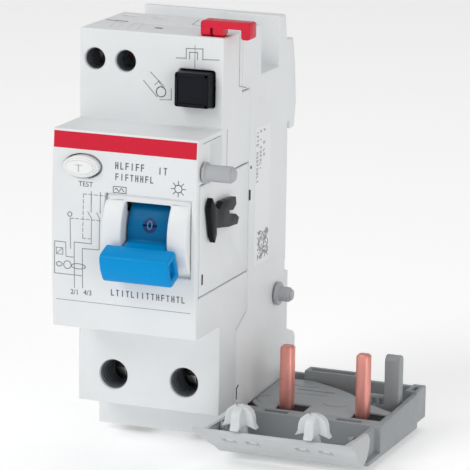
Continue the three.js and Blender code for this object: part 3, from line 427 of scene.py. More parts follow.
def smooth(mesh: bpy.types.Mesh, angle: float) -> None:
    """Shades a mesh smooth, but keeps edges sharper than an angle in degrees."""
    mesh.shade_smooth()
    mesh.set_sharp_from_angle(angle=math.radians(angle))


def applied(piece: bpy.types.Object) -> bpy.types.Object:
    """Turns a piece's modifiers into plain mesh and removes them.

    Args:
        piece: The piece.

    Returns:
        The same piece, with its new mesh.
    """
    bpy.context.view_layer.update()
    graph = bpy.context.evaluated_depsgraph_get()
    mesh = bpy.data.meshes.new_from_object(piece.evaluated_get(graph))
    piece.modifiers.clear()
    old = piece.data
    piece.data = mesh
    bpy.data.meshes.remove(old)
    mesh.name = piece.name
    return piece


@dataclass(frozen=True)
class Rounding:
    """How the edges of a moulded or pressed piece are rounded."""

    radius: float = 0.25
    steps: int = 2
    sharper_than: float = 30.0


def rounded(node: str, finish: Finish, body: str, rounding: Rounding = Rounding()) -> bpy.types.Object:
    """Makes a copy of a CAD node with rounded edges and puts it in the node's place.

    Args:
        node: The CAD node.
        finish: Its finish.
        body: The body it rides on.
        rounding: How its edges are rounded.

    Returns:
        The new piece.
    """
    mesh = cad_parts[node].data.copy()
    shape = bmesh.new()
    shape.from_mesh(mesh)
    bmesh.ops.remove_doubles(shape, verts=shape.verts, dist=MERGE_WITHIN)
    flat = math.radians(FLAT_WITHIN)
    bmesh.ops.dissolve_limit(shape, angle_limit=flat, verts=shape.verts, edges=shape.edges)
    bmesh.ops.triangulate(shape, faces=shape.faces, ngon_method="BEAUTY")
    shape.to_mesh(mesh)
    shape.free()
    if "custom_normal" in mesh.attributes:
        mesh.attributes.remove(mesh.attributes["custom_normal"])
    piece = linked(f"{node}_moulded", mesh)
    edge = piece.modifiers.new("rounding", "BEVEL")
    edge.width = rounding.radius * MM
    edge.segments = rounding.steps
    edge.limit_method = "ANGLE"
    edge.angle_limit = math.radians(rounding.sharper_than)
    edge.use_clamp_overlap = False
    edge.loop_slide = False
    applied(piece)
    smooth(piece.data, ROUND_BELOW)
    return settle(piece, finish, body, [node])


# ---- faces that marks lie on ------------------------------------------------------------------
class Face(Protocol):
    """A face of the block that marks can be laid on."""

    def at(self, across: float, up: float, out: float) -> Vector:
        """The place of a point on the face, in millimetres."""
        ...


@dataclass(frozen=True)
class NoseFace:
    """Front of the nose: a shallow arc from its upper to its lower edge."""

    edge: float = -55.1
    crown: float = 0.9
    top: float = 23.2
    bottom: float = -22.2

    def at(self, across: float, up: float, out: float) -> Vector:
        """The place of a point.

        Args:
            across: X.
            up: Z.
            out: How far in front of the face.

        Returns:
            The place.
        """
        half = (self.top - self.bottom) / 2
        share = (up - (self.top + self.bottom) / 2) / half
        return Vector((across, self.edge - self.crown * (1 - share * share) - out, up))


@dataclass(frozen=True)
class FlatFace:
    """A flat face that looks forward."""

    front: float = -41.0

    def at(self, across: float, up: float, out: float) -> Vector:
        """The place of a point: across is X and up is Z."""
        return Vector((across, self.front - out, up))


@dataclass(frozen=True)
class SideFace:
    """Right side of the housing."""

    side: float = 17.5

    def at(self, across: float, up: float, out: float) -> Vector:
        """The place of a point: across is Y and up is Z."""
        return Vector((self.side + out, across, up))


@dataclass(frozen=True)
class TopFace:
    """Top of the housing."""

    top: float = 43.7

    def at(self, across: float, up: float, out: float) -> Vector:
        """The place of a point: across is X and up is Y."""
        return Vector((across, up, self.top + out))


@dataclass(frozen=True)
class CoverFace:
    """Sloping top of the arm and its cover."""

    back: float = 2.4
    height: float = -43.0
    fall: float = 1.4
    depth: float = 31.8
    drop: float = 0.0

    def at(self, across: float, up: float, out: float) -> Vector:
        """The place of a point: across is X and up is Y."""
        z = self.height - self.fall * (self.back - up) / self.depth - self.drop
        return Vector((across, up, z + out))


@dataclass(frozen=True)
class DrumFace:
    """Round face of the toggle's drum, in its window."""

    axle_y: float = -46.0
    axle_z: float = 0.8
    radius: float = 9.7

    def at(self, across: float, up: float, out: float) -> Vector:
        """The place of a point.

        Args:
            across: X.
            up: Z, measured round the drum.
            out: How far outside the drum.

        Returns:
            The place.
        """
        angle = (up - self.axle_z) / self.radius
        reach = self.radius + out
        y, z = reach * math.cos(angle), reach * math.sin(angle)
        return Vector((across, self.axle_y - y, self.axle_z + z))


@dataclass(frozen=True)
class BarrelFace:
    """Round the test resistor: across is X and up is an angle in degrees."""

    centre_y: float = -44.4
    centre_z: float = 15.2
    radius: float = 1.7
    deepest: float = 0.02

    def at(self, across: float, up: float, out: float) -> Vector:
        """The place of a point round the barrel.

        Args:
            across: X.
            up: Angle in degrees.
            out: How far outside the barrel.

        Returns:
            The place.
        """
        angle = math.radians(up)
        reach = self.radius + max(out, -self.deepest)
        y, z = reach * math.cos(angle), reach * math.sin(angle)
        return Vector((across, self.centre_y + y, self.centre_z + z))


class Marks:
    """Thin closed shapes on one face, gathered into one piece."""

    def __init__(self, face: Face, proud: float = 0.03, sunk: float = 0.06) -> None:
        """Starts with nothing.

        Args:
            face: The face that the marks lie on.
            proud: How far they stand proud of it.
            sunk: How far they reach into it.
        """
        self.face = face
        self.proud = proud
        self.sunk = sunk
        self.points: list[Vector] = []
        self.faces: list[list[int]] = []

    def slab(self, outline: Sequence[Point]) -> None:
        """Adds a slab over a convex outline.

        Args:
            outline: Its corners, as across and up.
        """
        start = len(self.points)
        count = len(outline)
        for out in (-self.sunk, self.proud):
            self.points += [self.face.at(a, b, out) for a, b in outline]
        self.faces.append(list(range(start, start + count)))
        self.faces.append(list(range(start + count, start + 2 * count)))
        for i in range(count):
            j = (i + 1) % count
            self.faces.append([start + i, start + j, start + count + j, start + count + i])

    def band(self, left: float, right: float, low: float, high: float, rows: int = 1) -> None:
        """Adds a rectangle.

        Args:
            left: Its left edge.
            right: Its right edge.
            low: Its lower edge.
            high: Its upper edge.
            rows: How many rows it is cut into, to follow the face.
        """
        for i in range(rows):
            a = low + (high - low) * i / rows
            b = low + (high - low) * (i + 1) / rows
            self.slab([(left, a), (right, a), (right, b), (left, b)])

    def line(self, path: Sequence[Point], width: float = 0.2, step: float = 3.0) -> None:
        """Adds a line of one width.

        Args:
            path: The points that it goes through.
            width: Its width.
            step: Longest length that is laid flat, so that the line follows the face.
        """
        for (a0, b0), (a1, b1) in zip(path, path[1:]):
            length = math.hypot(a1 - a0, b1 - b0)
            if length == 0:
                continue
            side = ((b0 - b1) / length * width / 2, (a1 - a0) / length * width / 2)
            over = ((a1 - a0) / length * width / 2, (b1 - b0) / length * width / 2)
            pieces = max(1, math.ceil(length / step))
            for i in range(pieces):
                s, t = i / pieces, (i + 1) / pieces
                p = (a0 + (a1 - a0) * s - over[0] * (i == 0), b0 + (b1 - b0) * s - over[1] * (i == 0))
                last = i == pieces - 1
                q = (a0 + (a1 - a0) * t + over[0] * last, b0 + (b1 - b0) * t + over[1] * last)
                self.slab([
                    (p[0] - side[0], p[1] - side[1]),
                    (q[0] - side[0], q[1] - side[1]),
                    (q[0] + side[0], q[1] + side[1]),
                    (p[0] + side[0], p[1] + side[1]),
                ])

    def dashes(
        self, start: Point, end: Point, dash: float = 0.8, gap: float = 0.5, width: float = 0.16
    ) -> None:
        """Adds a dashed line.

        Args:
            start: Where it starts.
            end: Where it ends.
            dash: Length of a dash.
            gap: Length of a gap.
            width: Its width.
        """
        length = math.hypot(end[0] - start[0], end[1] - start[1])
        at = 0.0
        while at < length:
            to = min(at + dash, length)
            a = tuple(start[k] + (end[k] - start[k]) * at / length for k in (0, 1))
            b = tuple(start[k] + (end[k] - start[k]) * to / length for k in (0, 1))
            self.line([a, b], width)
            at += dash + gap

    def frame(self, left: float, right: float, low: float, high: float, width: float = 0.18) -> None:
        """Adds the outline of a rectangle."""
        self.line([(left, low), (right, low), (right, high), (left, high), (left, low)], width)

    def ring(
        self, centre: Point, across: float, up: float, width: float = 0.18, turn: Point = (0, 360)
    ) -> None:
        """Adds a ring or part of one.

        Args:
            centre: Its middle.
            across: Half its width.
            up: Half its height.
            width: Width of its line.
            turn: First and last angle in degrees.
        """
        count = 28
        angles = [math.radians(turn[0] + (turn[1] - turn[0]) * i / count) for i in range(count + 1)]
        path = [(centre[0] + across * math.cos(t), centre[1] + up * math.sin(t)) for t in angles]
        self.line(path, width)

    def disc(self, centre: Point, across: float, up: float) -> None:
        """Adds a filled ellipse, in rows that follow the face.

        Args:
            centre: Its middle.
            across: Half its width.
            up: Half its height.
        """
        rows = 14
        angles = [math.pi * i / rows for i in range(rows + 1)]
        rims = [(across * math.sin(t), -up * math.cos(t)) for t in angles]
        for (half, low), (next_half, high) in zip(rims, rims[1:]):
            corners = [(-half, low), (half, low), (next_half, high), (-next_half, high)]
            if half < 1e-6:
                corners = corners[1:]
            elif next_half < 1e-6:
                corners = corners[:3]
            self.slab([(centre[0] + a, centre[1] + b) for a, b in corners])

    def figures(self, words: str, centre: Point, height: float) -> None:
        """Adds short generic figures.

        Args:
            words: What they say.
            centre: Their middle.
            height: Height of a capital.
        """
        text = bpy.data.curves.new("figures", "FONT")
        text.body = words
        text.size = height / CAPITAL_SHARE
        text.align_x = "CENTER"
        text.align_y = "CENTER"
        text.resolution_u = 3
        text.extrude = 0.5
        holder = linked("figures", text)
        bpy.context.view_layer.update()
        graph = bpy.context.evaluated_depsgraph_get()
        mesh = bpy.data.meshes.new_from_object(holder.evaluated_get(graph))
        start = len(self.points)
        for vertex in mesh.vertices:
            out = self.proud if vertex.co.z > 0 else -self.sunk
            self.points.append(self.face.at(centre[0] + vertex.co.x, centre[1] + vertex.co.y, out))
        self.faces += [[start + i for i in polygon.vertices] for polygon in mesh.polygons]
        bpy.data.objects.remove(holder)
        bpy.data.curves.remove(text)
        bpy.data.meshes.remove(mesh)

    def take(self, flat: bpy.types.Object, origin: Point) -> None:
        """Lays a flat object's mesh on the face, and removes the object.

        Args:
            flat: The object, drawn in millimetres with X across, Z up and a thickness along Y.
            origin: Where its origin goes on the face.
        """
        start = len(self.points)
        for vertex in flat.data.vertices:
            out = self.proud if vertex.co.y < 0 else -self.sunk
            self.points.append(self.face.at(origin[0] + vertex.co.x, origin[1] + vertex.co.z, out))
        mesh = flat.data
        self.faces += [[start + i for i in polygon.vertices] for polygon in mesh.polygons]
        bpy.data.objects.remove(flat)
        bpy.data.meshes.remove(mesh)

    def piece(self, name: str, finish: Finish, body: str = "housing") -> bpy.types.Object:
        """Makes the piece.

        Args:
            name: Its name.
            finish: Its finish.
            body: The body it rides on.

        Returns:
            The finished piece.
        """
        mesh = bpy.data.meshes.new(name)
        mesh.from_pydata([point * MM for point in self.points], [], self.faces)
        shape = bmesh.new()
        shape.from_mesh(mesh)
        bmesh.ops.remove_doubles(shape, verts=shape.verts, dist=MERGE_MARKS_WITHIN)
        bmesh.ops.recalc_face_normals(shape, faces=shape.faces)
        shape.to_mesh(mesh)
        shape.free()
        smooth(mesh, MARK_ROUND_BELOW)
        return settle(linked(name, mesh), finish, body)


# ---- geometry trees ---------------------------------------------------------------------------
class Tree:
    """A Geometry Nodes tree while it is being written, and what it makes."""

    KINDS = {float: "NodeSocketFloat", int: "NodeSocketInt"}

    def __init__(self, name: str) -> None:
        """Starts an empty tree with a geometry output and a finish input.

        Args:
            name: The tree's name.
        """
        self.tree = bpy.data.node_groups.new(name, "GeometryNodeTree")
        self.tree.interface.new_socket("Geometry", in_out="OUTPUT", socket_type="NodeSocketGeometry")
        self.source = self.tree.nodes.new("NodeGroupInput")
        self.names: dict[str, str] = {}
        self.finish = self._socket("Finish", "NodeSocketMaterial")

    def _socket(self, name: str, kind: str) -> bpy.types.NodeSocket:
        """Adds an input and notes its identifier.

        Args:
            name: Its name.
            kind: Its socket type.

        Returns:
            The socket inside the tree.
        """
        socket = self.tree.interface.new_socket(name, in_out="INPUT", socket_type=kind)
        self.names[name] = socket.identifier
        return self.source.outputs[name]

    def size(self, name: str, kind: type = float) -> bpy.types.NodeSocket:
        """Adds a named input and returns its socket."""
        return self._socket(name, self.KINDS[kind])

    def node(
        self, kind: str, settings: dict[str, object] | None = None, **inputs: object
    ) -> bpy.types.Node:
        """Adds a node.

        Args:
            kind: The node's type.
            settings: Properties set before its inputs.
            inputs: Input name, with underscores for spaces, to a value or an output socket.

        Returns:
            The new node.
        """
        node = self.tree.nodes.new(kind)
        for name, value in (settings or {}).items():
            setattr(node, name, value)
        for name, value in inputs.items():
            wanted = name.replace("_", " ")
            self._feed(next(s for s in node.inputs if s.name == wanted and s.enabled), value)
        return node

    def _feed(self, socket: bpy.types.NodeSocket, value: object) -> None:
        """Links an output to a socket, or sets the socket's value.

        Args:
            socket: The input.
            value: A value, or an output socket.
        """
        if isinstance(value, bpy.types.NodeSocket):
            self.tree.links.new(value, socket)
        else:
            socket.default_value = value

    def maths(self, operation: str, first: object, second: object) -> bpy.types.NodeSocket:
        """Adds one step of arithmetic.

        Args:
            operation: The step, such as ADD.
            first: A number or an output socket.
            second: A number or an output socket.

        Returns:
            The result's socket.
        """
        node = self.tree.nodes.new("ShaderNodeMath")
        node.operation = operation
        for socket, value in zip(node.inputs, (first, second)):
            self._feed(socket, value)
        return node.outputs[0]

    def chance(self, kind: str, seed: object, **inputs: object) -> bpy.types.NodeSocket:
        """Adds a random value of one kind and returns its socket."""
        node = self.node("FunctionNodeRandomValue", {"data_type": kind}, Seed=seed, **inputs)
        return next(s for s in node.outputs if s.enabled)

    def close(self, geometry: bpy.types.NodeSocket) -> "Tree":
        """Ends the tree with realized instances and its finish.

        Args:
            geometry: What the tree makes.

        Returns:
            The tree.
        """
        real = self.node("GeometryNodeRealizeInstances", Geometry=geometry)
        dressed = self.node("GeometryNodeSetMaterial", Geometry=real.outputs[0], Material=self.finish)
        output = self.tree.nodes.new("NodeGroupOutput")
        self.tree.links.new(dressed.outputs[0], output.inputs[0])
        return self

    def make(self, name: str, finish: Finish, **sizes: object) -> bpy.types.Object:
        """Runs the tree and returns what it makes as a plain mesh.

        Args:
            name: Name of the new object.
            finish: Its finish.
            sizes: Input name, with underscores for spaces, to its value.

        Returns:
            The object, with the modifier removed.
        """
        piece = linked(name, bpy.data.meshes.new(name))
        modifier = piece.modifiers.new("shape", "NODES")
        modifier.node_group = self.tree
        modifier[self.names["Finish"]] = finish.material()
        for size, value in sizes.items():
            modifier[self.names[size.replace("_", " ")]] = value
        return applied(piece)


def coil_tree() -> Tree:
    """Tree for a helical spring along Z.

    Returns:
        A tree with inputs Radius, Wire, Length and Turns.
    """
    tree = Tree("coil")
    radius, wire, length, turns = (tree.size(name) for name in ("Radius", "Wire", "Length", "Turns"))
    helix = tree.node(
        "GeometryNodeCurveSpiral",
        Resolution=28,
        Rotations=turns,
        Start_Radius=radius,
        End_Radius=radius,
        Height=length,
    )
    section = tree.node("GeometryNodeCurvePrimitiveCircle", Resolution=10, Radius=wire)
    swept = tree.node(
        "GeometryNodeCurveToMesh",
        Curve=helix.outputs[0],
        Profile_Curve=section.outputs[0],
        Fill_Caps=True,
    )
    return tree.close(swept.outputs[0])


def figure_row_tree() -> Tree:
    """Tree for a row of made-up figures that stands for small print.

    Returns:
        A tree with inputs Count, Height, Pitch, Spaces and Seed.
    """
    tree = Tree("figure_row")
    count, seed = tree.size("Count", int), tree.size("Seed", int)
    height, pitch, spaces = (tree.size(name) for name in ("Height", "Pitch", "Spaces"))
    stroke = tree.maths("MULTIPLY", height, 0.15)
    width = tree.maths("MULTIPLY", pitch, 0.6)
    shapes = tree.tree.nodes.new("GeometryNodeJoinGeometry")

    def bar(wide: object, tall: object, across: object, up: object) -> bpy.types.NodeSocket:
        """One stroke of a figure.

        Args:
            wide: Its width.
            tall: Its height.
            across: X of its middle.
            up: Z of its middle.

        Returns:
            The stroke's geometry.
        """
        size = tree.node("ShaderNodeCombineXYZ", X=wide, Y=1.0, Z=tall)
        place = tree.node("ShaderNodeCombineXYZ", X=across, Z=up)
        box = tree.node("GeometryNodeMeshCube", Size=size.outputs[0])
        moved = tree.node(
            "GeometryNodeTransform", Geometry=box.outputs["Mesh"], Translation=place.outputs[0]
        )
        return moved.outputs[0]

    half_width = tree.maths("MULTIPLY", tree.maths("SUBTRACT", width, stroke), 0.5)
    half_height = tree.maths("MULTIPLY", tree.maths("SUBTRACT", height, stroke), 0.5)
    minus_width = tree.maths("MULTIPLY", half_width, -1.0)
    minus_height = tree.maths("MULTIPLY", half_height, -1.0)
    uprights = [bar(stroke, height, minus_width, 0.0), bar(stroke, height, half_width, 0.0)]
    levels = [bar(width, stroke, 0.0, up) for up in (minus_height, 0.0, half_height)]
    middle = bar(stroke, height, 0.0, 0.0)
    figures = [
        [*uprights, levels[0], levels[2]],
        [uprights[0], levels[0]],
        [middle],
        [uprights[0], levels[2], levels[1]],
        [*uprights, levels[1]],
        [middle, levels[2]],
    ]
    for figure in figures:
        join = tree.tree.nodes.new("GeometryNodeJoinGeometry")
        for part in figure:
            tree.tree.links.new(part, join.inputs[0])
        single = tree.node("GeometryNodeGeometryToInstance", Geometry=join.outputs[0])
        tree.tree.links.new(single.outputs[0], shapes.inputs[0])
    step = tree.node("ShaderNodeCombineXYZ", X=pitch)
    row = tree.node("GeometryNodeMeshLine", Count=count, Offset=step.outputs[0])
    empty = tree.chance("BOOLEAN", seed, Probability=spaces)
    kept = tree.node("GeometryNodeDeleteGeometry", Geometry=row.outputs[0], Selection=empty)
    pick = tree.chance("INT", tree.maths("ADD", seed, 7.0), Min=0, Max=len(figures) - 1)
    placed = tree.node(
        "GeometryNodeInstanceOnPoints",
        Points=kept.outputs[0],
        Instance=shapes.outputs[0],
        Pick_Instance=True,
        Instance_Index=pick,
    )
    return tree.close(placed.outputs[0])


def code_block_tree() -> Tree:
    """Tree for a square block of dots, such as a machine-read code.

    Returns:
        A tree with inputs Cells, Cell and Seed.
    """
    tree = Tree("code_block")
    cells, seed, cell = tree.size("Cells", int), tree.size("Seed", int), tree.size("Cell")
    side = tree.maths("MULTIPLY", cells, cell)
    grid = tree.node(
        "GeometryNodeMeshGrid", Size_X=side, Size_Y=side, Vertices_X=cells, Vertices_Y=cells
    )
    upright = tree.node(
        "GeometryNodeTransform", Geometry=grid.outputs["Mesh"], Rotation=(math.pi / 2, 0, 0)
    )
    empty = tree.chance("BOOLEAN", seed, Probability=0.45)
    kept = tree.node("GeometryNodeDeleteGeometry", Geometry=upright.outputs[0], Selection=empty)
    size = tree.node("ShaderNodeCombineXYZ", X=cell, Y=1.0, Z=cell)
    dot = tree.node("GeometryNodeMeshCube", Size=size.outputs[0])
    placed = tree.node(
        "GeometryNodeInstanceOnPoints", Points=kept.outputs[0], Instance=dot.outputs["Mesh"]
    )
    return tree.close(placed.outputs[0])


def winding_tree() -> Tree:
    """Tree for turns of wire round a ring that lies in X and Z.

    Returns:
        A tree with inputs Turns, Radius, Width, Depth, Wire, Corner, First and Sweep.
    """
    tree = Tree("winding")
    turns = tree.size("Turns", int)
    names = ("Radius", "Width", "Depth", "Wire", "Corner", "First", "Sweep")
    radius, width, depth, wire, corner, first, sweep = (tree.size(name) for name in names)
    arc = tree.node(
        "GeometryNodeCurveArc",
        {"mode": "RADIUS"},
        Resolution=turns,
        Radius=radius,
        Start_Angle=first,
        Sweep_Angle=sweep,
    )
    spots = tree.node("GeometryNodeCurveToPoints", {"mode": "EVALUATED"}, Curve=arc.outputs[0])
    loop = tree.node("GeometryNodeCurvePrimitiveQuadrilateral", Width=width, Height=depth)
    soft = tree.node(
        "GeometryNodeFilletCurve", {"mode": "POLY"}, Curve=loop.outputs[0], Count=3, Radius=corner
    )
    section = tree.node("GeometryNodeCurvePrimitiveCircle", Resolution=6, Radius=wire)
    turn = tree.node(
        "GeometryNodeCurveToMesh", Curve=soft.outputs[0], Profile_Curve=section.outputs[0]
    )
    placed = tree.node(
        "GeometryNodeInstanceOnPoints",
        Points=spots.outputs["Points"],
        Instance=turn.outputs[0],
        Rotation=spots.outputs["Rotation"],
    )
    return tree.close(placed.outputs[0])


COIL = coil_tree()
FIGURE_ROW = figure_row_tree()
CODE_BLOCK = code_block_tree()
TURNS_OF_WIRE = winding_tree()


@dataclass(frozen=True)
class Spring:
    """A helical spring that stands on a point and reaches along one axis, in millimetres.
    """

    radius: float
    wire: float
    length: float
    turns: float
    turn: tuple[float, float, float] = (0.0, 0.0, 0.0)
    joint: str = ""
    travel: float = 0.0
    pressed_at_foot: bool = False

    def build(self, node: str, foot: Vector, body: str) -> bpy.types.Object:
        """Makes the spring in place of its CAD node.

        Args:
            node: The CAD node.
            foot: Where the spring starts.
            body: The body it rides on.

        Returns:
            The spring.
        """
        piece = COIL.make(
            f"{node}_coil",
            Finish.STEEL,
            Radius=self.radius * MM,
            Wire=self.wire * MM,
            Length=(self.length - 2 * self.wire) * MM,
            Turns=self.turns,
        )
        lift = Matrix.Translation((0, 0, self.wire * MM))
        angles = [math.radians(angle) for angle in self.turn]
        turned = Matrix.Rotation(angles[1], 4, "Y") @ Matrix.Rotation(angles[0], 4, "X")
        piece.data.transform(Matrix.Translation(foot * MM) @ turned @ lift)
        smooth(piece.data, WIRE_ROUND_BELOW)
        settle(piece, Finish.STEEL, body, [node])
        if self.joint:
            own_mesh(piece)
        return piece


@dataclass(frozen=True)
class Housing:
    """The two-module housing: front moulding, rear moulding and side panel."""

    rounding: Rounding = Rounding(0.35, 3)

    def build(self) -> None:
        """Rounds the mouldings and lays moulded ribs and marks of painted shade on them."""
        rounded("front_shell", Finish.HOUSING, "housing", self.rounding)
        rounded("rear_base", Finish.HOUSING, "housing", self.rounding)
        rounded("side_panel", Finish.HOUSING, "housing", Rounding(0.2, 2))
        self._side_marks()
        self._top_marks()

    def _side_marks(self) -> None:
        """Marks of painted shade for slots and a hole, ribs, and lines of painted groove shade on the
        right side.
        """
        # Flat near-black marks: painted shade where the side has slots and a hole.
        dark = Marks(SideFace())
        dark.band(-24.2, -23.4, 3.7, 6.1)
        dark.band(-52.5, -51.7, -10.0, -7.6)
        dark.disc((-23.4, 11.3), 0.4, 0.4)
        dark.line([(-30.3, -41.7), (-30.3, -39.3), (-29.4, -38.8)], 0.4)
        dark.piece("side_slot_shade", Finish.HOLLOW_SHADE)
        # Thin dark lines: painted shade in fine grooves.
        fine = Marks(SideFace(), proud=0.02)
        fine.line([(-38.3, 22.7), (-38.3, 14.4)], 0.16)
        fine.line([(-31.4, 43.2), (-31.4, 31.4), (-27.0, 30.4)], 0.14)
        fine.line([(-52.6, 22.0), (-42.0, 22.0)], 0.14)
        fine.piece("side_groove_shade", Finish.SEAM)
        ribs = Marks(SideFace(), proud=0.12)
        first, pitch, count = -48.0, 0.62, 11
        for i in range(count):
            across = first + i * pitch
            ribs.band(across, across + pitch * 0.45, 15.2, 21.6)
        ribs.piece("side_ribs", Finish.HOUSING)

    def _top_marks(self) -> None:
        """A slot of painted shade, ribs, and lines of painted groove shade on the top."""
        # A flat near-black mark: painted shade in a slot.
        dark = Marks(TopFace())
        dark.band(-1.9, -0.1, -34.9, -33.9)
        dark.piece("top_hole_shade", Finish.HOLLOW_SHADE)
        ribs = Marks(TopFace(), proud=0.1)
        for across in (-12.6, -10.5, -8.1, -5.8):
            ribs.line([(across + 0.9, -38.2), (across - 0.9, -30.0)], 0.35)
        ribs.piece("top_ribs", Finish.HOUSING)
        # Thin dark lines: painted shade in fine grooves.
        lines = Marks(TopFace(), proud=0.02)
        lines.line([(3.8, -26.4), (7.3, -28.6)], 0.14)
        lines.line([(2.8, -19.9), (3.8, -26.4)], 0.14)
        lines.line([(-16.3, -28.8), (-11.1, -28.9)], 0.14)
        lines.piece("top_groove_shade", Finish.SEAM)


@dataclass(frozen=True)
class FrontPrint:
    """Everything printed on the front of the housing, and a painted shadow by the test button.

    A row holds its count, height, pitch, first place and seed.
    """

    face: NoseFace = NoseFace()
    rows: tuple[tuple[int, float, float, Point, int], ...] = (
        (6, 1.6, 1.24, (-1.8, 16.0), 3),
        (2, 1.6, 1.3, (8.6, 15.7), 6),
        (9, 1.5, 1.2, (-1.7, 13.5), 21),
        (15, 1.45, 1.22, (-2.6, -13.0), 36),
    )
    words: tuple[tuple[str, Point], ...] = (
        ("TEST", (-9.2, 11.1)),
        ("2/1", (-11.9, -13.9)),
        ("4/3", (-8.7, -13.8)),
    )
    word_height: float = 1.15

    def build(self) -> None:
        """Prints the band, the figures, the wiring diagram and the signs."""
        self._band()
        self._figures()
        self._diagram()
        self._signs()

    def _band(self) -> None:
        """Red band across the top of the nose, and a painted shadow in the gap on the right of the test
        button.
        """
        band = Marks(self.face, proud=0.02)
        band.band(-17.2, 17.2, 18.9, 22.65, rows=3)
        band.piece("red_band", Finish.RED_INK)
        # A pale partial ring on the right of the test button: painted shadow of the gap round it.
        shade = Marks(self.face, proud=0.02)
        shade.ring((-10.1, 15.2), 4.72, 2.86, 0.2, (-70, 70))
        shade.piece("test_gap_shadow", Finish.PALE_INK)

    def _figures(self) -> None:
        """Rows that stand for the type and rating, and generic words and numbers."""
        rows = Marks(self.face)
        for count, height, pitch, origin, seed in self.rows:
            sizes = {"Count": count, "Height": height, "Pitch": pitch, "Spaces": 0.12, "Seed": seed}
            rows.take(FIGURE_ROW.make("figure_row", Finish.DARK_INK, **sizes), origin)
        rows.piece("figure_rows", Finish.DARK_INK)
        words = Marks(self.face)
        for word, centre in self.words:
            words.figures(word, centre, self.word_height)
        words.piece("front_words", Finish.DARK_INK)
        edge = Marks(self.face, proud=0.02)
        edge.line([(-16.4, -15.9), (16.2, -15.9)], 0.12)
        edge.piece("label_edge", Finish.PALE_INK)

    def _diagram(self) -> None:
        """Wiring diagram: two poles through a ring core, with test circuit and relay."""
        lines = Marks(self.face)
        thin, rim = 0.17, 0.16
        lines.line([(-7.8, 9.6), (-7.8, 4.9)], thin)
        lines.line([(-8.6, 4.9), (-7.7, 3.6), (-7.7, -2.3), (-11.9, -2.3), (-11.9, -12.8)], thin)
        lines.line([(-5.6, 9.6), (-5.6, 4.9)], thin)
        lines.line([(-6.4, 4.9), (-5.7, 3.6), (-5.8, -3.5), (-9.9, -3.6), (-9.9, -12.7)], thin)
        dashed = (
            ((-9.7, 8.9), (-3.9, 8.9)),
            ((-3.9, 8.9), (-4.5, 4.3)),
            ((-9.7, 8.9), (-9.8, -1.2)),
            ((-9.8, -1.2), (-7.9, -1.2)),
            ((-12.9, 3.1), (-5.6, 3.2)),
        )
        for start, end in dashed:
            lines.dashes(start, end)
        lines.line([(-12.9, 3.1), (-12.8, -3.8)], thin)
        lines.line([(-16.7, -2.5), (-14.0, -2.5), (-13.9, -5.8), (-11.9, -5.8)], thin)
        lines.line([(-16.7, -2.5), (-16.8, -9.9), (-9.9, -9.9)], thin)
        lines.frame(-16.3, -14.7, -5.4, -3.9, rim)
        lines.line([(-16.3, -5.4), (-14.7, -3.9)], 0.14)
        lines.ring((-15.6, -7.7), 0.7, 0.5, rim)
        lines.ring((-13.6, -7.7), 0.9, 0.9, rim)
        lines.ring((-10.9, -7.8), 1.7, 0.6, 0.18)
        lines.ring((-13.0, 4.0), 0.5, 0.5, rim)
        lines.piece("wiring_diagram", Finish.PALE_INK)

    def _signs(self) -> None:
        """Signs for the kind of current and for low temperatures."""
        signs = Marks(self.face)
        signs.frame(-2.5, 0.6, 9.9, 11.3, 0.16)
        wave = [(-2.1 + 0.15 * i, 10.6 + 0.34 * math.sin(0.75 * i)) for i in range(16)]
        signs.line(wave, 0.15)
        centre = (13.1, 12.1)
        for i in range(8):
            angle = math.pi * i / 4
            a = (centre[0] + 0.9 * math.cos(angle), centre[1] + 0.9 * math.sin(angle))
            b = (centre[0] + 1.75 * math.cos(angle), centre[1] + 1.75 * math.sin(angle))
            signs.line([a, b], 0.17)
        signs.ring(centre, 0.85, 0.85, 0.17)
        signs.piece("front_signs", Finish.DARK_INK)


@dataclass(frozen=True)
class UpperPrint:
    """Signs on the upper front shoulder."""

    front: float = -41.0

    def build(self) -> None:
        """Prints the pressing finger and the coupling sign."""
        face = FlatFace(self.front)
        self._finger(face)
        self._coupling(face)

    @staticmethod
    def _finger(face: FlatFace) -> None:
        """A finger that presses a bracket.

        Args:
            face: The face that it is printed on.
        """
        finger = Marks(face)
        finger.line([(-1.8, 32.8), (1.5, 29.3)], 0.2)
        finger.line([(-0.1, 34.8), (3.2, 31.8)], 0.2)
        finger.ring((2.5, 30.5), 1.15, 1.15, 0.2)
        finger.line([(1.0, 32.0), (2.0, 33.0)], 0.16)
        finger.line([(1.8, 32.9), (2.9, 31.4)], 0.12)
        finger.line([(4.95, 31.4), (5.0, 28.9), (2.2, 28.7)], 0.16)
        finger.piece("finger_sign", Finish.PALE_INK)

    @staticmethod
    def _coupling(face: FlatFace) -> None:
        """A bracket over two neighbouring devices, with their dividing line.

        Args:
            face: The face that it is printed on.
        """
        sign = Marks(face)
        bracket = ((6.1, 38.5), (8.5, 38.6), (8.5, 40.8), (12.5, 41.0), (12.5, 38.6), (16.4, 38.8))
        sign.line(bracket, 0.2)
        sign.line([(9.3, 38.5), (9.3, 40.0), (11.2, 40.1), (11.2, 38.5)], 0.2)
        sign.line([(10.6, 41.7), (10.6, 36.5)], 0.14)
        sign.piece("coupling_sign", Finish.PALE_INK)


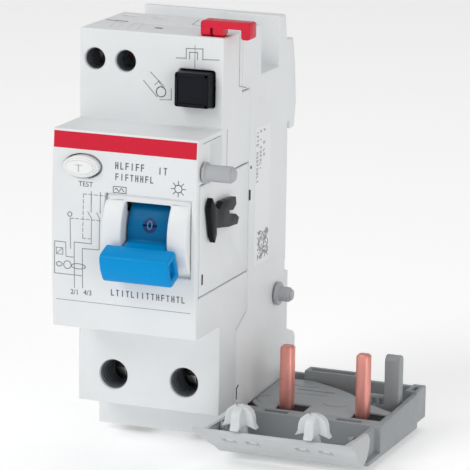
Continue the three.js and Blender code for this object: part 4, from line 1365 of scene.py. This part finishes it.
@dataclass(frozen=True)
class SideSticker:
    """White sticker on the right side, with turned rows of figures and a code."""

    left: float = -20.8
    right: float = -11.4
    low: float = -12.6
    high: float = 19.8

    def build(self) -> None:
        """Sticks it on and prints it."""
        paper = Marks(SideFace(), proud=0.05)
        paper.band(self.left, self.right, self.low, self.high)
        paper.piece("side_sticker", Finish.STICKER)
        print_face = SideFace(side=17.55)
        rows = Marks(print_face)
        for seed, across in enumerate((-19.6, -17.6, -15.4)):
            self._turned_row(rows, 13 - 3 * seed, across, seed)
        rows.piece("sticker_rows", Finish.SIDE_INK)
        code = Marks(print_face)
        block = CODE_BLOCK.make("code_block", Finish.SIDE_INK, Cells=15, Cell=0.42, Seed=5)
        code.take(block, (-15.4, -8.2))
        code.piece("sticker_code", Finish.SIDE_INK)

    @staticmethod
    def _turned_row(marks: Marks, count: int, across: float, seed: int) -> None:
        """Adds a row that reads upwards.

        Args:
            marks: What it is added to.
            count: How many figures it has.
            across: Its Y.
            seed: Number that its figures come from.
        """
        sizes = {"Count": count, "Height": 1.1, "Pitch": 0.95, "Spaces": 0.2, "Seed": 40 + seed}
        row = FIGURE_ROW.make("figure_row", Finish.SIDE_INK, **sizes)
        row.data.transform(Matrix.Rotation(math.radians(90), 4, "Y"))
        marks.take(row, (across, 18.6))


@dataclass(frozen=True)
class Toggle:
    """Blue toggle on its axle, in a pale arched bezel."""

    axle_y: float = -46.0
    axle_z: float = 0.8
    window_left: float = 0.35
    bearing: float = 1.8

    def build(self) -> None:
        """Builds bezel, handle, axle, spring and the drum's figure."""
        rounded("toggle_bezel", Finish.BEZEL, "housing", Rounding(0.45, 4))
        rounded("toggle_handle", Finish.BLUE, "toggle", Rounding(0.45, 3))
        rounded("toggle_axle", Finish.STEEL, "housing", Rounding(0.15, 2))
        length = 3.2
        foot = Vector((self.window_left - self.bearing - 0.3 - length, self.axle_y, self.axle_z))
        spring = Spring(2.25, 0.35, length, 4, (0, 90, 0))
        spring.build("toggle_spring", foot, "housing")
        self._figure()

    @staticmethod
    def _figure() -> None:
        """Prints the off figure on the drum."""
        disc = Marks(DrumFace(), proud=0.03)
        disc.disc((6.2, 3.1), 1.7, 1.7)
        disc.piece("off_disc", Finish.DRUM_INK, "toggle")
        figure = Marks(DrumFace(radius=9.73), proud=0.03, sunk=0.02)
        figure.figures("0", (6.2, 3.1), 2.1)
        figure.piece("off_figure", Finish.DRUM_FIGURE, "toggle")


@dataclass(frozen=True)
class Buttons:
    """Test button and lock button with what lies behind them."""

    test_x: float = -10.1
    test_z: float = 15.2
    lock_x: float = 11.1
    lock_z: float = 32.0

    def build(self) -> None:
        """Builds both buttons, their springs and the test circuit."""
        rounded("test_button", Finish.BUTTON, "test_key", Rounding(0.22, 3))
        # Grey lines across the test button: painted shade of a groove.
        groove = Marks(FlatFace(-57.6), proud=0.02)
        x, low, high = self.test_x, self.test_z - 0.9, self.test_z + 0.5
        groove.line([(x - 0.1, low), (x - 0.1, high)], 0.3)
        groove.line([(x - 0.9, high), (x + 0.7, high)], 0.16)
        groove.piece("test_groove_shade", Finish.SHADE_INK, "test_key")
        spring = Spring(1.6, 0.25, 4.0, 4, FORWARD_TO_BACK, "test_press", 1.4, True)
        spring.build("test_spring", Vector((self.test_x, -51.9, self.test_z)), "housing")
        rounded("test_contact", Finish.STEEL, "housing", Rounding(0.1, 2))
        rounded("test_resistor", Finish.CORE, "housing", Rounding(0.25, 2))
        self._resistor_bands()
        rounded("lock_button", Finish.BLACK, "lock_key", Rounding(0.3, 3))
        rim = Marks(FlatFace(-44.2), proud=0.28)
        half_width, half_height = 3.55, 3.35
        sides = (self.lock_x - half_width, self.lock_x + half_width)
        rim.frame(*sides, self.lock_z - half_height, self.lock_z + half_height, 0.5)
        rim.piece("lock_rim", Finish.BLACK, "lock_key")
        spring = Spring(2.2, 0.3, 5.6, 4, FORWARD_TO_BACK, "lock_press", 2.0, True)
        spring.build("lock_spring", Vector((self.lock_x, -37.8, self.lock_z)), "housing")

    def _resistor_bands(self) -> None:
        """Colour bands round the test resistor."""
        face = BarrelFace()
        for i, finish in enumerate((Finish.RED_INK, Finish.WHITE_INK, Finish.SEAM)):
            band = Marks(face, proud=0.04)
            left = self.test_x - 2.2 + 1.5 * i
            turns = 24
            for k in range(turns):
                band.band(left, left + 0.7, 360 * k / turns, 360 * (k + 1) / turns)
            band.piece(f"resistor_band_{i + 1}", finish)


@dataclass(frozen=True)
class Mechanism:
    """Clip, trip lever, relay, transformer and conductors."""

    def build(self) -> None:
        """Builds everything that couples, trips and senses."""
        rounded("coupling_clip", Finish.RED, "clip", Rounding(0.25, 3))
        rounded("trip_lever", Finish.BLACK, "trip", Rounding(0.1, 2))
        rounded("trip_shaft", Finish.BLACK, "trip", Rounding(0.2, 2))
        rounded("trip_relay", Finish.CORE, "housing", Rounding(0.4, 3))
        rounded("relay_plunger", Finish.STEEL, "plunger", Rounding(0.15, 2))
        rounded("core_ring", Finish.CORE, "housing", Rounding(0.5, 3))
        self._winding()
        for name in ("conductor_1", "conductor_2"):
            rounded(name, Finish.COPPER, "housing", Rounding(0.2, 2, 60.0))

    @staticmethod
    def _winding() -> None:
        """Winds the fine secondary round the ring."""
        half_sweep = math.atan2(9.0, 30.0) * 0.93
        piece = TURNS_OF_WIRE.make(
            "core_winding_turns",
            Finish.WINDING,
            Turns=13,
            Radius=9.8 * MM,
            Width=8.0 * MM,
            Depth=9.4 * MM,
            Wire=0.22 * MM,
            Corner=0.8 * MM,
            First=math.pi - half_sweep,
            Sweep=2 * half_sweep,
        )
        centre = Matrix.Translation(Vector((0, -10.2, -4)) * MM)
        piece.data.transform(centre @ Matrix.Rotation(math.pi / 2, 4, "X"))
        smooth(piece.data, WIRE_ROUND_BELOW)
        settle(piece, Finish.WINDING, "housing", ["core_winding"])


@dataclass(frozen=True)
class Sleeve:
    """Ribbed sleeve in a screwdriver well, open at both ends."""

    radius: float
    front: float = -40.2
    back: float = -33.0
    pitch: float = 1.3
    rib: float = 0.16
    wall: float = 0.12

    def build(self, name: str, across: float, up: float) -> bpy.types.Object:
        """Turns the sleeve's section round the well's axis.

        Args:
            name: Name of the piece.
            across: X of the well.
            up: Z of the well.

        Returns:
            The sleeve.
        """
        count = int((self.back - self.front) / self.pitch)
        outer = self.radius
        inner = [(self.front, outer - self.wall)]
        for i in range(count):
            start = self.front + i * self.pitch
            inner += [
                (start + 0.2 * self.pitch, outer - self.wall),
                (start + 0.5 * self.pitch, outer - self.wall - self.rib),
                (start + 0.8 * self.pitch, outer - self.wall),
            ]
        inner.append((self.back, outer - self.wall))
        section = [(self.front, outer), *inner, (self.back, outer)]
        turns = 40
        points, faces = [], []
        for k in range(turns):
            angle = 2 * math.pi * k / turns
            cos, sin = math.cos(angle), math.sin(angle)
            points += [Vector((across + r * cos, y, up + r * sin)) * MM for y, r in section]
        size = len(section)
        for k in range(turns):
            near, far = k * size, (k + 1) % turns * size
            for i in range(size):
                j = (i + 1) % size
                faces.append([near + i, near + j, far + j, far + i])
        mesh = bpy.data.meshes.new(name)
        mesh.from_pydata(points, [], faces)
        shape = bmesh.new()
        shape.from_mesh(mesh)
        bmesh.ops.recalc_face_normals(shape, faces=shape.faces)
        shape.to_mesh(mesh)
        shape.free()
        smooth(mesh, RIB_ROUND_BELOW)
        return settle(linked(name, mesh), Finish.SLEEVE, "housing")


@dataclass(frozen=True)
class Terminals:
    """Main and auxiliary terminals."""

    main: tuple[Point, ...] = ((-8.75, -36.3), (8.75, -36.3))
    auxiliary: tuple[Point, ...] = ((-13.8, 36.8), (-6.3, 36.8))

    def build(self) -> None:
        """Builds screws, cages, terminal blocks and the wells' sleeves."""
        for number in (1, 2):
            Sleeve(3.47, rib=0.26).build(f"main_sleeve_{number}", *self.main[number - 1])
            Sleeve(2.47, rib=0.1).build(f"aux_sleeve_{number}", *self.auxiliary[number - 1])
        for number, side in ((1, "left"), (2, "right")):
            rounded(f"terminal_screw_{number}", Finish.STEEL, f"screw_{side}", Rounding(0.2, 3))
            rounded(f"clamp_cage_{number}", Finish.STEEL, f"cage_{side}", Rounding(0.3, 2))
            rounded(f"aux_screw_{number}", Finish.STEEL, f"aux_screw_{side}", Rounding(0.12, 2))
            rounded(f"aux_terminal_{number}", Finish.COPPER, "housing", Rounding(0.15, 2))


@dataclass(frozen=True)
class RailLatch:
    """Latch that grips the rail, with its spring, and the two pegs on the side."""

    def build(self) -> None:
        """Builds latch, spring and pegs."""
        rounded("rail_latch", Finish.ARM_GREY, "latch", Rounding(0.25, 3))
        spring = Spring(1.2, 0.25, 8.2, 5, joint="latch_pull", travel=3.0)
        spring.build("latch_spring", Vector((0, 2.5, -42.0)), "housing")
        rounded("peg_upper", Finish.PEG, "housing", Rounding(0.25, 3))
        rounded("peg_lower", Finish.PEG, "housing", Rounding(0.25, 3))


@dataclass(frozen=True)
class Arm:
    """Low arm with its cover and copper pins."""

    left: float = 17.8

    def build(self) -> None:
        """Builds the tray, the cover and the pins, and marks the cover."""
        rounded("arm_base", Finish.ARM_GREY, "housing", Rounding(0.2, 2))
        rounded("arm_cover", Finish.ARM_LIGHT, "housing", Rounding(0.2, 2))
        for number in (1, 2):
            rounded(f"copper_pin_{number}", Finish.COPPER, "housing", Rounding(0.15, 2))
        self._cover_marks()

    def _cover_marks(self) -> None:
        """Arcs of painted shade in moulded grooves, and painted shade in the sockets of the cover."""
        face = CoverFace(drop=0.35)
        # Thin dark arcs and lines: painted shade in moulded grooves.
        arcs = Marks(face, proud=0.02)
        arcs.ring((25.8, -5.5), 3.2, 1.8, 0.16, (200, 340))
        arcs.ring((36.9, -16.6), 3.0, 2.2, 0.16, (200, 350))
        arcs.ring((20.7, -19.0), 2.4, 2.4, 0.16, (90, 260))
        arcs.line([(24.2, -12.4), (33.0, -12.0)], 0.18)
        rear = ((2.7, -2.3), (8.2, -2.0), (14.2, -4.9), (19.2, -7.7), (27.2, -14.3), (33.2, -17.9))
        arcs.line([(self.left + x, y) for x, y in rear], 0.3)
        arcs.piece("cover_groove_shade", Finish.SEAM)
        # Flat near-black marks: painted shade in the sockets.
        floor = Marks(CoverFace(drop=0.8), proud=0.02)
        for pin in (26.8, 45.4):
            floor.band(pin - 2.0, pin + 5.1, -25.4, -19.7)
        floor.band(18.2, 21.6, -25.6, -21.4)
        floor.piece("socket_shade", Finish.HOLLOW_SHADE)


@dataclass(frozen=True)
class Flap:
    """Flap at the front of the arm, with two barbed locking plugs."""

    def build(self) -> None:
        """Builds the flap and its plugs."""
        rounded("flap", Finish.FLAP, "flap_lock", Rounding(0.22, 3))
        for number in (1, 2):
            rounded(f"locking_plug_{number}", Finish.PLUG, "flap_lock", Rounding(0.25, 3))


@dataclass(frozen=True)
class View:
    """A camera placed by its position and the direction it looks from."""

    position: tuple[float, float, float] = (0.2914, -0.7234, 0.1681)
    azimuth: float = 21.63
    elevation: float = 12.94
    roll: float = 0.85
    lens: float = 257.6

    def build(self) -> None:
        """Adds the camera and makes it the scene's."""
        azimuth, elevation, roll = (math.radians(v) for v in (self.azimuth, self.elevation, self.roll))
        back = Vector((
            math.sin(azimuth) * math.cos(elevation),
            -math.cos(azimuth) * math.cos(elevation),
            math.sin(elevation),
        ))
        right = Vector((math.cos(azimuth), math.sin(azimuth), 0.0))
        up = back.cross(right)
        turned_right = right * math.cos(roll) + up * math.sin(roll)
        turned_up = up * math.cos(roll) - right * math.sin(roll)
        axes = Matrix((turned_right, turned_up, back)).transposed().to_4x4()
        data = bpy.data.cameras.new("camera")
        data.lens = self.lens
        data.sensor_width = 36.0
        data.clip_start = 0.01
        data.clip_end = 20.0
        camera = bpy.data.objects.new("camera", data)
        camera.matrix_world = Matrix.Translation(self.position) @ axes
        bpy.context.scene.collection.objects.link(camera)
        bpy.context.scene.camera = camera


@dataclass(frozen=True)
class Lamp:
    """A square soft lamp that faces the object."""

    name: str
    position: tuple[float, float, float]
    side: float
    watts: float

    def build(self) -> None:
        """Adds the lamp."""
        data = bpy.data.lights.new(self.name, "AREA")
        data.size = self.side
        data.energy = self.watts
        lamp = bpy.data.objects.new(self.name, data)
        lamp.location = self.position
        lamp.rotation_euler = (-Vector(self.position)).to_track_quat("-Z", "Y").to_euler()
        bpy.context.scene.collection.objects.link(lamp)


@dataclass(frozen=True)
class Studio:
    """Pale round floor with a raised rim, soft lamps and an even surround."""

    floor: float = -0.0534
    flat: float = 2.0
    rim: float = 0.9
    surround: float = 0.34
    lamps: tuple[Lamp, ...] = (
        Lamp("key", (-0.55, -0.85, 0.75), 0.6, 4.7),
        Lamp("fill", (0.95, -0.6, 0.25), 0.8, 2.5),
        Lamp("top", (0.1, 0.1, 1.1), 0.7, 2.4),
    )

    def build(self) -> None:
        """Builds floor, lamps, surround and camera."""
        self._floor()
        for lamp in self.lamps:
            lamp.build()
        world = bpy.data.worlds.new("surround")
        world.use_nodes = True
        shade = world.node_tree.nodes["Background"]
        shade.inputs["Color"].default_value = (1.0, 1.0, 1.0, 1.0)
        shade.inputs["Strength"].default_value = self.surround
        bpy.context.scene.world = world
        bpy.context.scene.view_settings.view_transform = "Standard"
        View().build()

    def _floor(self) -> None:
        """Turns a flat floor with a raised rim round the object."""
        profile = [(0.0, self.floor), (self.flat, self.floor)]
        steps, turns = 12, 48
        around = [2 * math.pi * k / turns for k in range(turns)]
        for i in range(1, steps + 1):
            angle = math.pi / 2 * i / steps
            rise = self.rim * (1 - math.cos(angle))
            profile.append((self.flat + self.rim * math.sin(angle), self.floor + rise))
        verts = []
        for r, z in profile[1:]:
            verts += [(r * math.cos(t), r * math.sin(t), z) for t in around]
        faces = [list(range(turns))]
        for ring in range(len(profile) - 2):
            for k in range(turns):
                a, b = ring * turns + k, ring * turns + (k + 1) % turns
                faces.append([a, b, b + turns, a + turns])
        mesh = bpy.data.meshes.new("floor")
        mesh.from_pydata(verts, [], faces)
        smooth(mesh, MARK_ROUND_BELOW)
        paper = Ink((0.92, 0.92, 0.92), roughness=0.9, cover=0.004, sheen=0.0, glow=0.3)
        mesh.materials.append(paper.material("floor"))
        linked("floor", mesh)


def write_sizes() -> None:
    """Brings the view layer up to date."""
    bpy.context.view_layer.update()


def main() -> None:
    """Builds every sub-assembly, then the studio round them."""
    logging.basicConfig(level=logging.INFO, format="%(name)s %(message)s")
    assemblies = (
        Housing(),
        FrontPrint(),
        UpperPrint(),
        SideSticker(),
        Toggle(),
        Buttons(),
        Mechanism(),
        Terminals(),
        RailLatch(),
        Arm(),
        Flap(),
        Studio(),
    )
    for assembly in assemblies:
        assembly.build()
    write_sizes()


if __name__ == "__main__":
    main()
